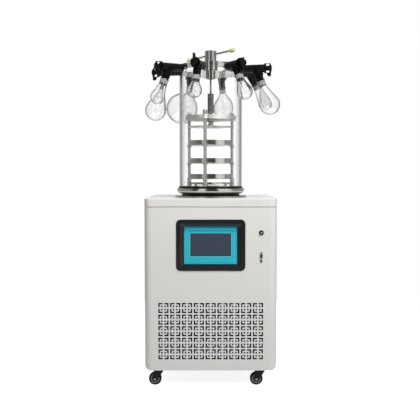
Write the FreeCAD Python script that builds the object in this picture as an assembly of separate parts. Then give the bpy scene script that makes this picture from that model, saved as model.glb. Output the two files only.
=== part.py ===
import FreeCAD, Part
import math
import os

# Floor-standing laboratory freeze dryer with a top-press chamber and an eight-port flask manifold.
# Millimetres. +X is the machine's right seen from the front, +Y goes to its back, +Z is up.
# The origin is on the floor, under the middle of the machine's overall width and depth.

V = FreeCAD.Vector
UP = V(0, 0, 1)
SEAT_GAP = 0.3            # left between curved pieces that only rest against each other
RUN_GAP = 0.08            # radial running clearance of a shaft in its hole
OVER = 1.0                # how far a cutter runs past the face that it cuts
TINY = 0.1                # tolerance for finding an edge by its place
BULGE = 1 - math.sqrt(0.5)    # middle of a rounded corner from both sides, as a share of its radius

# ---- cabinet ----
CABINET_WIDTH = 500.0
CABINET_DEPTH = 520.0
CABINET_BOTTOM = 70.0     # underside above the floor
CABINET_TOP = 720.0
COVER_HEIGHT = 30.0
COVER_SEAM = 3.0          # dark groove between cover and body
SEAM_INSET = 3.0
SHEET = 1.5               # folded sheet steel
FRONT_CORNER = 28.0       # radius of the front's upright edges
FRONT_RETURN = 14.0       # flat return behind the rounded edge
BOTTOM_CORNER = 22.0      # radius of the front's lower corners
COVER_EDGE = 3.0
FLANGE = 16.0             # folded-in edges of the side and rear panels
TRAY_SHEET = 2.0
TRAY_RIM = 22.0
POST_LEG = 25.0           # angle-section corner posts
POST_SHEET = 3.0
COVER_BACK_CORNER = 8.0

# ---- grille: nine by five cells of four corner slots round four square holes ----
GRILLE_COLUMNS = 9
GRILLE_ROWS = 5
GRILLE_PITCH_X = 44.5
GRILLE_PITCH_Z = 44.0
GRILLE_CENTRE_Z = 220.0
CELL = 38.4
SLOT_ARM = 16.2
SLOT_WIDTH = 5.4
HOLE = 6.0
HOLE_OFFSET = 6.2

# ---- touch screen ----
SCREEN_CENTRE_Z = 545.0
BEZEL_SIDE = 28.5         # black frame left and right of the turquoise panel
BEZEL_RAIL = 23.0         # black frame above and below it
BEZEL_CORNER = 17.0
BEZEL_PROUD = 4.0
BEZEL_DEPTH = 14.0        # from the panel's face to the back of the bezel
BEZEL_BEVEL = 14.0        # width of the slope left and right of the recess
BEZEL_SLOPE_HEIGHT = 16.8     # both slopes above and below the recess together
BEZEL_EDGE = 2.4
MOUTH_CORNER = 12.0       # corners where the slope begins
WINDOW_CORNER = 4.0       # corners of the panel's cut-out for the screen
PANEL_LEDGE = 2.0         # how far the screen stands in from the back of the bezel
PANEL_WIDTH = 203.0
PANEL_HEIGHT = 147.0
PANEL_THICK = 5.0
PANEL_CORNER = 3.0
PANEL_MARGIN = 12.0       # flat border round the raised middle
PANEL_STEP = 1.5          # height of the raised middle
SCREEN_BACK = 22.0        # from the panel's face to the back of its electronics
SCREEN_BACK_MARGIN = 8.0
DISPLAY_WIDTH = 154.0
DISPLAY_HEIGHT = 87.0
DISPLAY_LIFT = 1.0        # display centre above the panel centre
DISPLAY_THICK = 2.0
DISPLAY_CORNER = 2.0
DISPLAY_SUNK = 0.8        # display glass below the raised middle

# ---- front fittings ----
FITTING_X = 190.0
FITTING_NECK = 0.6        # radius of what passes the panel, as a share of the fitting's radius
SELECTOR_Z = 592.0
SELECTOR_RADIUS = 9.6
SELECTOR_RING = 2.0       # height of the fixed ring
SELECTOR_CHAMFER = 0.8
SELECTOR_DISC_RADIUS = 7.9
SELECTOR_DISC = 2.0
SELECTOR_PROUD = 8.0
SELECTOR_GRIP = 4.8       # width of the grip bar
SELECTOR_TURN = 45.0      # where the grip bar points at rest
SELECTOR_BODY = 18.0
SELECTOR_BODY_HEIGHT = 24.0
SELECTOR_DEPTH = 26.0
STEM_RADIUS = 3.0
STEM_DEPTH = 11.0
COCK_Z = 506.0
COCK_RADIUS = 5.5
COCK_PROUD = 9.0
COCK_BODY = 16.0
COCK_DEPTH = 18.0
SPINDLE_RADIUS = 2.0
SPINDLE_DEPTH = 7.0
LEVER_UP = 15.0           # lever above the spindle
LEVER_DOWN = 11.0
LEVER_WIDTH = 7.0
LEVER_TIP_WIDTH = 3.9
LEVER_FOOT_WIDTH = 5.6
LEVER_THICK = 3.0
LEVER_HUB_RADIUS = 4.1
LEVER_HUB_PROUD = 1.0
OUTLET_DROP = 21.0        # drain outlet below the cock's spindle
OUTLET_RADIUS = 3.2
OUTLET_PROUD = 6.0
OUTLET_BORE = 2.0
OUTLET_FLANGE_RADIUS = 4.6
OUTLET_FLANGE = 1.2

# ---- side and rear fittings ----
SIDE_SETBACK = 112.0      # side switch and socket behind the front face
SWITCH_Z = 663.0
SWITCH_HEIGHT = 31.0
SWITCH_WIDTH = 22.0
SOCKET_Z = 552.0
SOCKET_HEIGHT = 26.0
SOCKET_WIDTH = 30.0
SIDE_PROUD = 4.0
FRAME_PROUD = 2.4         # frames of the switch and the sockets
FRAME_LIP = 2.0           # frame beyond its cut-out
SWITCH_DEPTH = 22.0
SWITCH_POCKET = 9.0
ROCKER_WIDTH = 12.0
ROCKER_REACH = 10.5       # rocker's ends above and below its pivot
ROCKER_ROOT = 5.0         # rocker's foot inside the switch
ROCKER_BACK = 0.5         # back of the raised half beyond the panel
ROCKER_VALLEY = 1.2       # face of the pressed half beyond the panel
ROCKER_THICK = 3.4
SOCKET_DEPTH = 24.0
SOCKET_WALL = 4.0
SOCKET_RECESS = 14.0
INLET_X = -170.0
INLET_Z = 130.0
VACUUM_DROP = 80.0        # vacuum port below the top of the cover
VACUUM_BORE = 13.0        # radius
VACUUM_WALL = 1.5
VACUUM_FLANGE = 20.0      # radius of the clamp flange
VACUUM_FLANGE_THICK = 3.0
VACUUM_PROUD = 25.0
LOUVRE_ROWS = 12
LOUVRE_PITCH = 16.0
LOUVRE_WIDTH = 110.0
LOUVRE_HEIGHT = 5.0
LOUVRE_BOTTOM = 230.0
LOUVRE_X = 82.5           # middle of each row, left and right

# ---- casters ----
CASTER_X = 195.0
CASTER_INSET = 60.0       # swivel axis behind the front face, and ahead of the back face
WHEEL_RADIUS = 24.5
WHEEL_WIDTH = 20.0
AXLE_RADIUS = 4.0
CASTER_TRAIL = 19.0
PLATE_SIZE = 52.0
PLATE_THICK = 3.0
HEAD_RADIUS = 17.0
HEAD_HEIGHT = 5.0
CHEEK = 2.5
CHEEK_GAP = 1.2           # between wheel and fork cheek
KING_PIN_RADIUS = 5.0
KING_PIN_LENGTH = 6.0
BOLT_HEAD_RADIUS = 6.0
BOLT_HEAD = 2.5
TYRE_DEPTH = 7.5
TYRE_ROUND = 3.0
HUB_RADIUS = 7.5
HUB_PROUD = 0.6
WEB_RECESS = 3.5          # web's face below the wheel's side
FRONT_BOSS_RADIUS = 6.0   # spacers between plate and tray
FLOOR_BOSS_RADIUS = 12.0

# ---- chamber stack, upwards from the cover ----
CHAMBER_SETBACK = 165.0   # chamber axis behind the cabinet's front face
TRAP_RADIUS = 100.0       # inner
TRAP_WALL = 2.0
TRAP_DEPTH = 200.0
TRAP_CORNER = 30.0
BASE_FLANGE_RADIUS = 140.0
BASE_FLANGE = 7.0
LOWER_GASKET_RADIUS = 114.0
LOWER_GASKET = 7.0
SEAL_RING_RADIUS = 132.5
SEAL_RING = 23.0
SEAL_RING_MOUTH = 96.0    # radius of the opening in the seal ring
SEAL_RING_ROLL = 8.0      # size of its rolled rim
UPPER_GASKET = 7.0
UPPER_GASKET_LIP = 3.0    # gasket beyond the chamber's wall
GASKET_EDGE = 1.5
TUBE_RADIUS = 122.5       # outer
TUBE_WALL = 8.0
TUBE_HEIGHT = 441.0
LID = 32.0
LID_STEP = 4.0            # locating step that drops into the chamber
LID_EDGE = 2.5
MANIFOLD_DROP = 3.0       # nipples below the middle of the lid's edge
JACKET_WALL = 28.0

# ---- stoppering press ----
GLAND_RADIUS = 18.5
GLAND_BELOW_LID = 21.0
GLAND_ABOVE_LID = 14.0
GLAND_COLLAR = 3.0
GLAND_COLLAR_LIP = 2.0
GLAND_WALL = 5.0
GLAND_RECESS = 14.0
CAP_RADIUS = 22.5
CAP_HEIGHT = 42.0
CAP_EDGE = 3.0
CAP_GROOVE_Z = 15.0
CAP_GROOVE = 1.5
CAP_GROOVE_DEPTH = 0.8
SCREW_IN_CAP = 17.0
BAR_RADIUS = 4.0
BAR_LENGTH = 223.0
BAR_ANGLE = -35.0         # its right end points towards the front
BAR_LEAN = 5.6            # and stands higher than its left end
BAR_ABOVE_CAP_BASE = 25.5
TIP_RADIUS = 8.5
TIP_LENGTH = 21.0
TIP_EDGE = 3.5
TIP_END_WALL = 2.0
SCREW_RADIUS = 4.0
RAM_RADIUS = 12.0
RAM_LENGTH = 87.0
RAM_FOOT_RADIUS = 17.0
RAM_FOOT = 5.0
RAM_GROOVE = 6.0
RAM_GROOVE_DEPTH = 3.0
SCREW_GRIP = 28.0         # screw left in the ram with the press fully down
PRESS_TRAVEL = 40.0
PRESS_RADIUS = 113.0
PRESS_EDGE_RADIUS = 99.5
PRESS_THICK = 16.0
PRESS_SHEET = 2.0
PRESS_HUB = 25.0
PRESS_HUB_RADIUS = 14.0
PRESS_HUB_WAIST = 7.7
PRESS_HUB_RIM = 4.0
FOLLOWER_RADIUS = 92.0
PRESS_Z = 1023.0          # underside of the press plate at rest

# ---- shelf rack ----
RACK_POST_RADIUS = 6.0
RACK_CIRCLE = 101.0
RACK_ANGLES = (30.0, 150.0, 258.0)
RACK_BASE_THICK = 8.0
RACK_BASE_GAP = 1.5       # between the base ring and the chamber's wall
RACK_BASE_MOUTH = 60.0
RACK_FOOT_RADIUS = 9.5
RACK_FOOT = 18.0
COLLAR_RADIUS = 9.0
COLLAR = 6.0
NUT_RADIUS = 9.0
NUT_HEIGHT = 19.0
NUT_DOME = 6.3
BAFFLE_RADIUS = 78.0
BAFFLE_THICK = 8.0
BAFFLE_EDGE = 2.0
BAFFLE_SPACER = 6.0
SPACER_RADIUS = 5.0
SHELF_RADIUS = 85.0
SHELF_RIM = 20.0
SHELF_SHEET = 2.0
SHELF_HEIGHTS = {"shelf_bottom": 792.0, "shelf_middle": 853.0, "shelf_top": 923.0}
SHELF_EDGE = 2.0
LUG_WIDTH = 15.0
LUG_EYE = 9.5
LUG_THICK = 4.0

# ---- manifold valves and flasks ----
PORTS = 8
FIRST_PORT_ANGLE = 30.0
NIPPLE_RADIUS = 7.0
NIPPLE_BORE = 4.5
NIPPLE_LENGTH = 24.0
NIPPLE_DRILL = 30.0       # drilled inwards from the lid's edge
DOWN_DRILL = 3.5          # radius of the hole down into the chamber
DOWN_INSET = 7.0          # its middle from the blind end of the nipple's drilling
BARREL_RADIUS = 15.5
BARREL_LENGTH = 92.0
BARREL_ROUND = 5.0
PLUG_RADIUS = 8.0
PLUG_LENGTH = 62.0
BRANCH_AT = 181.0         # where the branch leaves the barrel, from the chamber axis
BRANCH_LENGTH = 50.0      # along the branch to the flask's rim
BRANCH_TOP_RADIUS = 17.0
BRANCH_END_RADIUS = 14.4
STOPPER_LENGTH = 20.0
STOPPER_TAPER = 1.4
BRANCH_BORE = 7.0
KNOB_FLANGE_RADIUS = 19.5
KNOB_FLANGE = 4.0
KNOB_FLANGE_EDGE = 1.5
KNOB_WAIST_RADIUS = 7.0
KNOB_WAIST = 15.0
KNOB_END_RADIUS = 12.5
KNOB_END = 8.0
KNOB_END_EDGE = 2.0
WING_THICK = 7.0          # wing that ends in the paddle
WING_RIM = 1.6            # wing round its see-through slots
WING_WAIST = 8.0          # half height of the wing's full width
SLOT_LIFT = 2.0           # slots above and below the waist
PADDLE_REACH = 31.0       # paddle's tip from the barrel axis
PADDLE_TIP_WIDTH = 10.0
PADDLE_LEAN = 3.0         # paddle's tip in from the knob's end
RAISED_PADDLE_PORT = 5    # this knob stands turned half round
GLASS = 2.0
NECK_RADIUS = 15.0
NECK_LENGTH = 28.0
NECK_BLEND = 12.0
LIP_RADIUS = 17.0
LIP = 4.5
LIP_EDGE = 1.8
# node: {port: (bulb diameter, length from the rim, outward lean of its rubber branch in degrees)}
FLASKS = {
    "small_flasks": {0: (58.0, 120.0, 34.0), 4: (56.0, 104.0, 23.5),
                     5: (56.0, 91.0, 25.0), 6: (59.0, 105.0, 32.0)},
    "large_flasks": {1: (102.0, 145.0, 27.0), 2: (127.0, 159.0, 27.0),
                     3: (85.0, 150.0, 17.5), 7: (80.0, 139.0, 21.5)},
}

# ---- machinery in the cabinet ----
CONDENSER_WIDTH = 320.0
CONDENSER_HEIGHT = 220.0
CONDENSER_THICK = 44.0
CONDENSER_GAP = 1.0       # behind the tray's front rim
CONDENSER_LIFT = 12.0     # fins above the tray
FIN_COUNT = 16
FIN_THICK = 2.0
FIN_SETBACK = 2.0         # fins in from the end plates' edges
COIL_RADIUS = 5.0
COIL_ROWS = 5
COIL_PITCH = 44.0
COIL_INSET = 12.0
END_PLATE = 2.0
SHROUD_THICK = 3.0
FAN_RADIUS = 95.0
FAN_HUB = 28.0
FAN_BLADES = 5
FAN_DEPTH = 24.0
FAN_TIP_GAP = 6.0
BLADE_CHORD = 56.0
BLADE_THICK = 2.0
BLADE_PITCH = 22.0        # degrees
BLADE_END_GAP = 4.0
BLADE_ROOT = 6.0          # blade inside the hub
MOTOR_RADIUS = 32.0
MOTOR_LENGTH = 52.0
MOTOR_EDGE = 5.0
MOTOR_GAP = 12.0          # behind the fan
SHAFT_RADIUS = 3.0
STRUT_WIDTH = 12.0
STRUT_THICK = 3.0
STRUT_ANGLES = (120.0, 240.0, 360.0)
COMPRESSOR_X = -60.0
COMPRESSOR_Y = 170.0
COMPRESSOR_RADIUS = 78.0
COMPRESSOR_HEIGHT = 178.0
COMPRESSOR_DOME = 35.0
COMPRESSOR_EDGE = 12.0
COMPRESSOR_LIFT = 14.0
SEAM_RADIUS = 81.0
SEAM_HEIGHT = 5.0
SEAM_LIFT = 98.0          # weld seam above the can's bottom
FOOT_LENGTH = 172.0
FOOT_WIDTH = 94.0
FOOT_THICK = 6.0
STUB_RADIUS = 9.0
STUB_HEIGHT = 10.0
STUB_X = 74.0
STUB_Y = 33.0
SERVICE_PIPE_RADIUS = 5.0
BOX_WIDTH = 78.0
BOX_DEPTH = 150.0
BOX_HEIGHT = 220.0
BOX_Z = 330.0
BOX_BACK = 60.0           # from the rear of the cabinet
BOX_EDGE = 3.0            # thickness of the box's sides
BOX_WALL = 2.0            # thickness of its back and of its flanges
EAR_WIDTH = 14.0          # flange in front of the box and behind it
EAR_TRIM = 30.0           # flanges shorter than the box at each end

# ---- places that follow from the sizes above ----
trap_base = CABINET_TOP + BASE_FLANGE - TRAP_DEPTH - TRAP_WALL
lower_gasket_z = CABINET_TOP + BASE_FLANGE
seal_ring_z = lower_gasket_z + LOWER_GASKET
upper_gasket_z = seal_ring_z + SEAL_RING
tube_z = upper_gasket_z + UPPER_GASKET
lid_z = tube_z + TUBE_HEIGHT
lid_top = lid_z + LID
manifold_z = lid_z + LID / 2 - MANIFOLD_DROP
cap_z = lid_top + GLAND_ABOVE_LID
rack_z = upper_gasket_z
press_top = PRESS_Z + PRESS_THICK
barrel_start = TUBE_RADIUS + SEAT_GAP
barrel_end = TUBE_RADIUS + BARREL_LENGTH


def port_angle(port):
    return FIRST_PORT_ANGLE + port * 360.0 / PORTS


def front_reach(port, bulb, length, lean):
    """How far a hanging flask reaches in front of the chamber axis."""
    out = BRANCH_AT + (BRANCH_LENGTH + length - bulb / 2) * math.sin(math.radians(lean))
    return bulb / 2 - out * math.sin(math.radians(port_angle(port)))


hung = {port: size for group in FLASKS.values() for port, size in group.items()}
hang = max(front_reach(port, *size) for port, size in hung.items())
chamber_y = round((hang - (CABINET_DEPTH - CHAMBER_SETBACK + VACUUM_PROUD)) / 2, 2)
front_y = chamber_y - CHAMBER_SETBACK
back_y = front_y + CABINET_DEPTH
panel_back_y = front_y + SHEET
body_top = CABINET_TOP - COVER_HEIGHT
side_top = body_top - COVER_SEAM
tray_top = CABINET_BOTTOM + SHEET + TRAY_SHEET
side_front = front_y + FRONT_CORNER + FRONT_RETURN
switch_y = front_y + SIDE_SETBACK
half_width = CABINET_WIDTH / 2
vacuum_z = CABINET_TOP - VACUUM_DROP
bezel_width = PANEL_WIDTH + 2 * BEZEL_SIDE
bezel_height = PANEL_HEIGHT + 2 * BEZEL_RAIL
screen_y = front_y + BEZEL_DEPTH - PANEL_THICK - PANEL_LEDGE
fan_y = side_front + TRAY_SHEET + CONDENSER_GAP + CONDENSER_THICK
condenser_top = tray_top + CONDENSER_LIFT + CONDENSER_HEIGHT
fan_z = condenser_top - CONDENSER_HEIGHT / 2


# ---- helpers ----
def box(x0, x1, y0, y1, z0, z1):
    """A block between two places on each axis, given in either order along X and Y."""
    return Part.makeBox(abs(x1 - x0), abs(y1 - y0), z1 - z0, V(min(x0, x1), min(y0, y1), z0))


def rod(radius, z0, z1, x=0.0, y=0.0):
    return Part.makeCylinder(radius, z1 - z0, V(x, y, z0))


def rod_y(radius, y0, y1, x, z):
    return Part.makeCylinder(radius, y1 - y0, V(x, y0, z), V(0, 1, 0))


def rod_x(radius, x0, x1, y=0.0, z=0.0):
    return Part.makeCylinder(radius, x1 - x0, V(x0, y, z), V(1, 0, 0))


def ring(inner, outer, z0, z1):
    return rod(outer, z0, z1).cut(rod(inner, z0 - OVER, z1 + OVER))


def turned(points):
    """A solid turned about the Z axis from a closed outline of (radius, height) points."""
    wire = Part.makePolygon([V(r, 0, z) for r, z in points + points[:1]])
    return Part.Face(wire).revolve(V(0, 0, 0), UP, 360)


def prism_y(points, y0, y1):
    """An outline of (x, z) points, extruded from y0 to y1."""
    wire = Part.makePolygon([V(x, y0, z) for x, z in points + points[:1]])
    return Part.Face(wire).extrude(V(0, y1 - y0, 0))


def rounded_wire(width, height, radius, y, centre_z):
    """A rounded rectangle standing in the XZ plane."""
    w, h, k = width / 2, height / 2, radius * BULGE
    edges = []
    corners = [(1, 1), (-1, 1), (-1, -1), (1, -1)]
    for index, (sx, sz) in enumerate(corners):
        on_side = V(sx * w, y, centre_z + sz * (h - radius))
        on_top = V(sx * (w - radius), y, centre_z + sz * h)
        middle = V(sx * (w - k), y, centre_z + sz * (h - k))
        start, end = (on_side, on_top) if index % 2 == 0 else (on_top, on_side)
        if edges:
            edges.append(Part.makeLine(last, start))
        edges.append(Part.Arc(start, middle, end).toShape())
        first = start if index == 0 else first
        last = end
    edges.append(Part.makeLine(last, first))
    return Part.Wire(edges)


def rounded_plate(width, height, radius, y0, y1, centre_z):
    wire = rounded_wire(width, height, radius, y0, centre_z)
    return Part.Face(wire).extrude(V(0, y1 - y0, 0))


def at_chamber(shape):
    """Moves a piece modelled about the Z axis onto the chamber's axis."""
    return shape.translated(V(0, chamber_y, 0))


def at_port(shape, port):
    """Moves a valve piece modelled along +X to its port round the chamber."""
    return at_chamber(shape.rotated(V(0, 0, 0), UP, port_angle(port)))


def fused(shapes):
    return shapes[0].multiFuse(shapes[1:]).removeSplitter()


def upright_edges(shape, at):
    """The upright edges of a shape that stand at one of the (x, y) places."""
    found = []
    for edge in shape.Edges:
        span = edge.BoundBox
        if span.ZLength > OVER and span.XLength < TINY and span.YLength < TINY:
            if any(abs(span.XMin - x) < TINY and abs(span.YMin - y) < TINY for x, y in at):
                found.append(edge)
    return found


def edges_from(shape, z):
    """The edges of a shape that lie at the height z or above it."""
    return [e for e in shape.Edges if e.BoundBox.ZMin > z - TINY]


def edges_to(shape, z):
    """The edges of a shape that lie at the height z or below it."""
    return [e for e in shape.Edges if e.BoundBox.ZMax < z + TINY]


def front_edges(shape, y):
    """The edges of a shape that lie at y or in front of it."""
    return [e for e in shape.Edges if e.BoundBox.YMax < y + TINY]


def end_circles(shape, x0, x1):
    """The edges round the ends of a rod along X that lie between x0 and x1."""
    return [e for e in shape.Edges if e.BoundBox.XMin > x0 - TINY and e.BoundBox.XMax < x1 + TINY
            and e.BoundBox.XLength < TINY]


# ---- cabinet ----
def front_form(inset):
    """The front panel's outer form, or with an inset the space inside its sheet."""
    half, front = half_width - inset, front_y + inset
    low, top = CABINET_BOTTOM + inset, side_top + (OVER if inset else 0)
    back = side_front + (OVER if inset else 0)
    block = box(-half, half, front, back, low, top)
    radius = FRONT_CORNER - inset
    block = block.makeFillet(radius, upright_edges(block, [(-half, front), (half, front)]))
    corner = BOTTOM_CORNER - inset
    k = BULGE * corner
    left = Part.Arc(V(-half, front, low + corner), V(-half + k, front, low + k),
                    V(-half + corner, front, low)).toShape()
    right = Part.Arc(V(half - corner, front, low), V(half - k, front, low + k),
                     V(half, front, low + corner)).toShape()
    outline = Part.Wire([
        left,
        Part.makeLine(V(-half + corner, front, low), V(half - corner, front, low)),
        right,
        Part.makeLine(V(half, front, low + corner), V(half, front, top)),
        Part.makeLine(V(half, front, top), V(-half, front, top)),
        Part.makeLine(V(-half, front, top), V(-half, front, low + corner)),
    ])
    return block.common(Part.Face(outline).extrude(V(0, back - front, 0)))


def corner_slot(x, z, sx, sz):
    """One L-shaped slot in a grille cell, its outer corner at (x, z)."""
    arm, width = SLOT_ARM, SLOT_WIDTH
    points = [(0, 0), (arm, 0), (arm, width), (width, width), (width, arm), (0, arm)]
    return [(x - sx * px, z - sz * pz) for px, pz in points]


def grille_cutters():
    """Slots and holes of the whole grille, as prisms through the front sheet."""
    y0, y1 = front_y - OVER, panel_back_y + OVER
    cutters = []
    for column in range(GRILLE_COLUMNS):
        x = (column - (GRILLE_COLUMNS - 1) / 2) * GRILLE_PITCH_X
        for row in range(GRILLE_ROWS):
            z = GRILLE_CENTRE_Z + (row - (GRILLE_ROWS - 1) / 2) * GRILLE_PITCH_Z
            for sx in (-1, 1):
                for sz in (-1, 1):
                    slot = corner_slot(x + sx * CELL / 2, z + sz * CELL / 2, sx, sz)
                    cutters.append(prism_y(slot, y0, y1))
                    cx, cz = x + sx * HOLE_OFFSET, z + sz * HOLE_OFFSET
                    half = HOLE / 2
                    cutters.append(box(cx - half, cx + half, y0, y1, cz - half, cz + half))
    return Part.makeCompound(cutters)


def front_panel():
    """Folded front with rounded edges, the screen's window, three fitting holes and the grille."""
    panel = front_form(0).cut(front_form(SHEET))
    y0, y1 = front_y - OVER, panel_back_y + OVER
    window = rounded_plate(bezel_width - 2 * BEZEL_BEVEL, bezel_height - 2 * BEZEL_BEVEL, WINDOW_CORNER,
                           y0, y1, SCREEN_CENTRE_Z)
    holes = [
        window,
        rod_y(SELECTOR_RADIUS * FITTING_NECK + SEAT_GAP, y0, y1, FITTING_X, SELECTOR_Z),
        rod_y(COCK_RADIUS * FITTING_NECK + SEAT_GAP, y0, y1, FITTING_X, COCK_Z),
        rod_y(OUTLET_RADIUS + SEAT_GAP, y0, y1, FITTING_X, COCK_Z - OUTLET_DROP),
        grille_cutters(),
    ]
    return panel.cut(holes)


def side_panel(side):
    """A flat side with folded-in top, bottom and back edges. side is -1 left, +1 right."""
    outer, inner = side * half_width, side * (half_width - SHEET)
    fold = side * (half_width - FLANGE)
    z0, z1 = CABINET_BOTTOM, side_top
    y0, y1 = side_front + SEAT_GAP, back_y - SHEET - SEAT_GAP
    wall = box(outer, inner, y0, y1, z0, z1)
    low_fold = box(outer, fold, y0, y1, z0, z0 + SHEET)
    high_fold = box(outer, fold, y0, y1, z1 - SHEET, z1)
    back_fold = box(outer, fold, y1 - SHEET, y1, z0, z1)
    panel = fused([wall, low_fold, high_fold, back_fold])
    if side > 0:
        for z, width, height in ((SWITCH_Z, SWITCH_WIDTH, SWITCH_HEIGHT),
                                 (SOCKET_Z, SOCKET_WIDTH, SOCKET_HEIGHT)):
            half_y, half_z = width / 2 - FRAME_LIP, height / 2 - FRAME_LIP
            panel = panel.cut(box(inner - OVER, outer + OVER, switch_y - half_y, switch_y + half_y,
                                  z - half_z, z + half_z))
    return panel


def rear_panel():
    """Flat back with two rows of louvre slots, the vacuum pipe's hole and the inlet's cut-out."""
    y0, y1 = back_y - SHEET, back_y
    panel = box(-half_width, half_width, y0, y1, CABINET_BOTTOM, side_top)
    cutters = []
    for side in (-1, 1):
        for row in range(LOUVRE_ROWS):
            z = LOUVRE_BOTTOM + row * LOUVRE_PITCH
            x = side * LOUVRE_X
            cutters.append(box(x - LOUVRE_WIDTH / 2, x + LOUVRE_WIDTH / 2, y0 - OVER, y1 + OVER,
                               z, z + LOUVRE_HEIGHT))
    cutters.append(rod_y(VACUUM_BORE + VACUUM_WALL + SEAT_GAP, y0 - OVER, y1 + OVER, 0, vacuum_z))
    half_x, half_z = SOCKET_WIDTH / 2 - FRAME_LIP, SOCKET_HEIGHT / 2 - FRAME_LIP
    cutters.append(box(INLET_X - half_x, INLET_X + half_x, y0 - OVER, y1 + OVER,
                       INLET_Z - half_z, INLET_Z + half_z))
    return panel.cut(cutters)


def cover_form(inset, z0, z1):
    half, front, back = half_width - inset, front_y + inset, back_y - inset
    block = box(-half, half, front, back, z0, z1)
    rounded = upright_edges(block, [(-half, front), (half, front)])
    block = block.makeFillet(FRONT_CORNER - inset, rounded)
    return block.makeFillet(COVER_BACK_CORNER - inset, upright_edges(block, [(-half, back), (half, back)]))


def top_cover():
    """The lid-like cover with its rounded edge, and the narrower skirt that makes the dark seam."""
    shell = cover_form(0, body_top, CABINET_TOP)
    shell = shell.makeFillet(COVER_EDGE, edges_from(shell, CABINET_TOP))
    skirt = cover_form(SEAM_INSET, side_top, body_top)
    inside = cover_form(SEAM_INSET + SHEET, side_top - OVER, CABINET_TOP - COVER_EDGE)
    mouth = rod(TRAP_RADIUS + TRAP_WALL + SEAT_GAP, body_top, CABINET_TOP + OVER, 0, chamber_y)
    return shell.fuse(skirt).cut([inside, mouth]).removeSplitter()


def base_tray():
    """Pressed floor with an upturned rim, and the four angle posts welded to it."""
    gap = SHEET + SEAT_GAP
    x1, y0, y1 = half_width - gap, side_front, back_y - 2 * gap
    z0 = CABINET_BOTTOM + SHEET
    tray = box(-x1, x1, y0, y1, z0, z0 + TRAY_RIM)
    tray = tray.cut(box(-x1 + TRAY_SHEET, x1 - TRAY_SHEET, y0 + TRAY_SHEET, y1 - TRAY_SHEET,
                        z0 + TRAY_SHEET, z0 + TRAY_RIM + OVER))
    toe = box(-x1 + BOTTOM_CORNER, x1 - BOTTOM_CORNER, front_y + FRONT_CORNER, y0 + TRAY_SHEET,
              z0, z0 + TRAY_SHEET)
    posts = []
    post_top = side_top - SHEET - SEAT_GAP
    edge = x1 - TRAY_SHEET
    for side in (-1, 1):
        outer = side * edge
        for corner_y, inward in ((y0 + TRAY_SHEET, 1), (y1 - TRAY_SHEET, -1)):
            posts.append(box(outer, outer - side * POST_SHEET, corner_y, corner_y + inward * POST_LEG,
                             z0, post_top))
            posts.append(box(outer, outer - side * POST_LEG, corner_y, corner_y + inward * POST_SHEET,
                             z0, post_top))
    return fused([tray, toe] + posts)


# ---- touch screen ----
def screen_bezel():
    """Moulded frame with a long slope down to the recess that holds the turquoise panel."""
    proud_y = front_y - BEZEL_PROUD
    outer = rounded_plate(bezel_width, bezel_height, BEZEL_CORNER, proud_y, front_y, SCREEN_CENTRE_Z)
    outer = outer.makeFillet(BEZEL_EDGE, front_edges(outer, proud_y))
    inset = 2 * (BEZEL_BEVEL + SEAT_GAP)
    body = rounded_plate(bezel_width - inset, bezel_height - inset, WINDOW_CORNER,
                         front_y, front_y + BEZEL_DEPTH, SCREEN_CENTRE_Z)
    wide = rounded_wire(PANEL_WIDTH + 2 * BEZEL_BEVEL, PANEL_HEIGHT + BEZEL_SLOPE_HEIGHT, MOUTH_CORNER,
                        proud_y - SEAT_GAP, SCREEN_CENTRE_Z)
    narrow = rounded_wire(PANEL_WIDTH - 2 * PANEL_LEDGE, PANEL_HEIGHT - 2 * PANEL_LEDGE, PANEL_CORNER,
                          screen_y, SCREEN_CENTRE_Z)
    slope = Part.makeLoft([wide, narrow], True)
    seat = rounded_plate(PANEL_WIDTH + 2 * SEAT_GAP, PANEL_HEIGHT + 2 * SEAT_GAP, PANEL_CORNER,
                         screen_y, front_y + BEZEL_DEPTH + OVER, SCREEN_CENTRE_Z)
    return outer.fuse(body).cut([slope, seat]).removeSplitter()


def touch_panel():
    """The turquoise front of the touch screen, stepped round the edge, with its electronics behind."""
    y1, raised_y = screen_y + PANEL_THICK, screen_y - PANEL_STEP
    plate = rounded_plate(PANEL_WIDTH, PANEL_HEIGHT, PANEL_CORNER, screen_y, y1, SCREEN_CENTRE_Z)
    step = rounded_plate(PANEL_WIDTH - 2 * PANEL_MARGIN, PANEL_HEIGHT - 2 * PANEL_MARGIN, PANEL_CORNER,
                         raised_y, screen_y, SCREEN_CENTRE_Z)
    back = rounded_plate(PANEL_WIDTH - 2 * SCREEN_BACK_MARGIN, PANEL_HEIGHT - 2 * SCREEN_BACK_MARGIN,
                         PANEL_CORNER, y1, screen_y + SCREEN_BACK, SCREEN_CENTRE_Z)
    window = rounded_plate(DISPLAY_WIDTH, DISPLAY_HEIGHT, DISPLAY_CORNER, raised_y - OVER,
                           raised_y + DISPLAY_THICK, SCREEN_CENTRE_Z + DISPLAY_LIFT)
    return fused([plate, step, back]).cut(window)


def display_glass():
    raised_y = screen_y - PANEL_STEP
    return rounded_plate(DISPLAY_WIDTH - 2 * SEAT_GAP, DISPLAY_HEIGHT - 2 * SEAT_GAP, DISPLAY_CORNER,
                         raised_y + DISPLAY_SUNK, raised_y + DISPLAY_THICK, SCREEN_CENTRE_Z + DISPLAY_LIFT)


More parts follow.
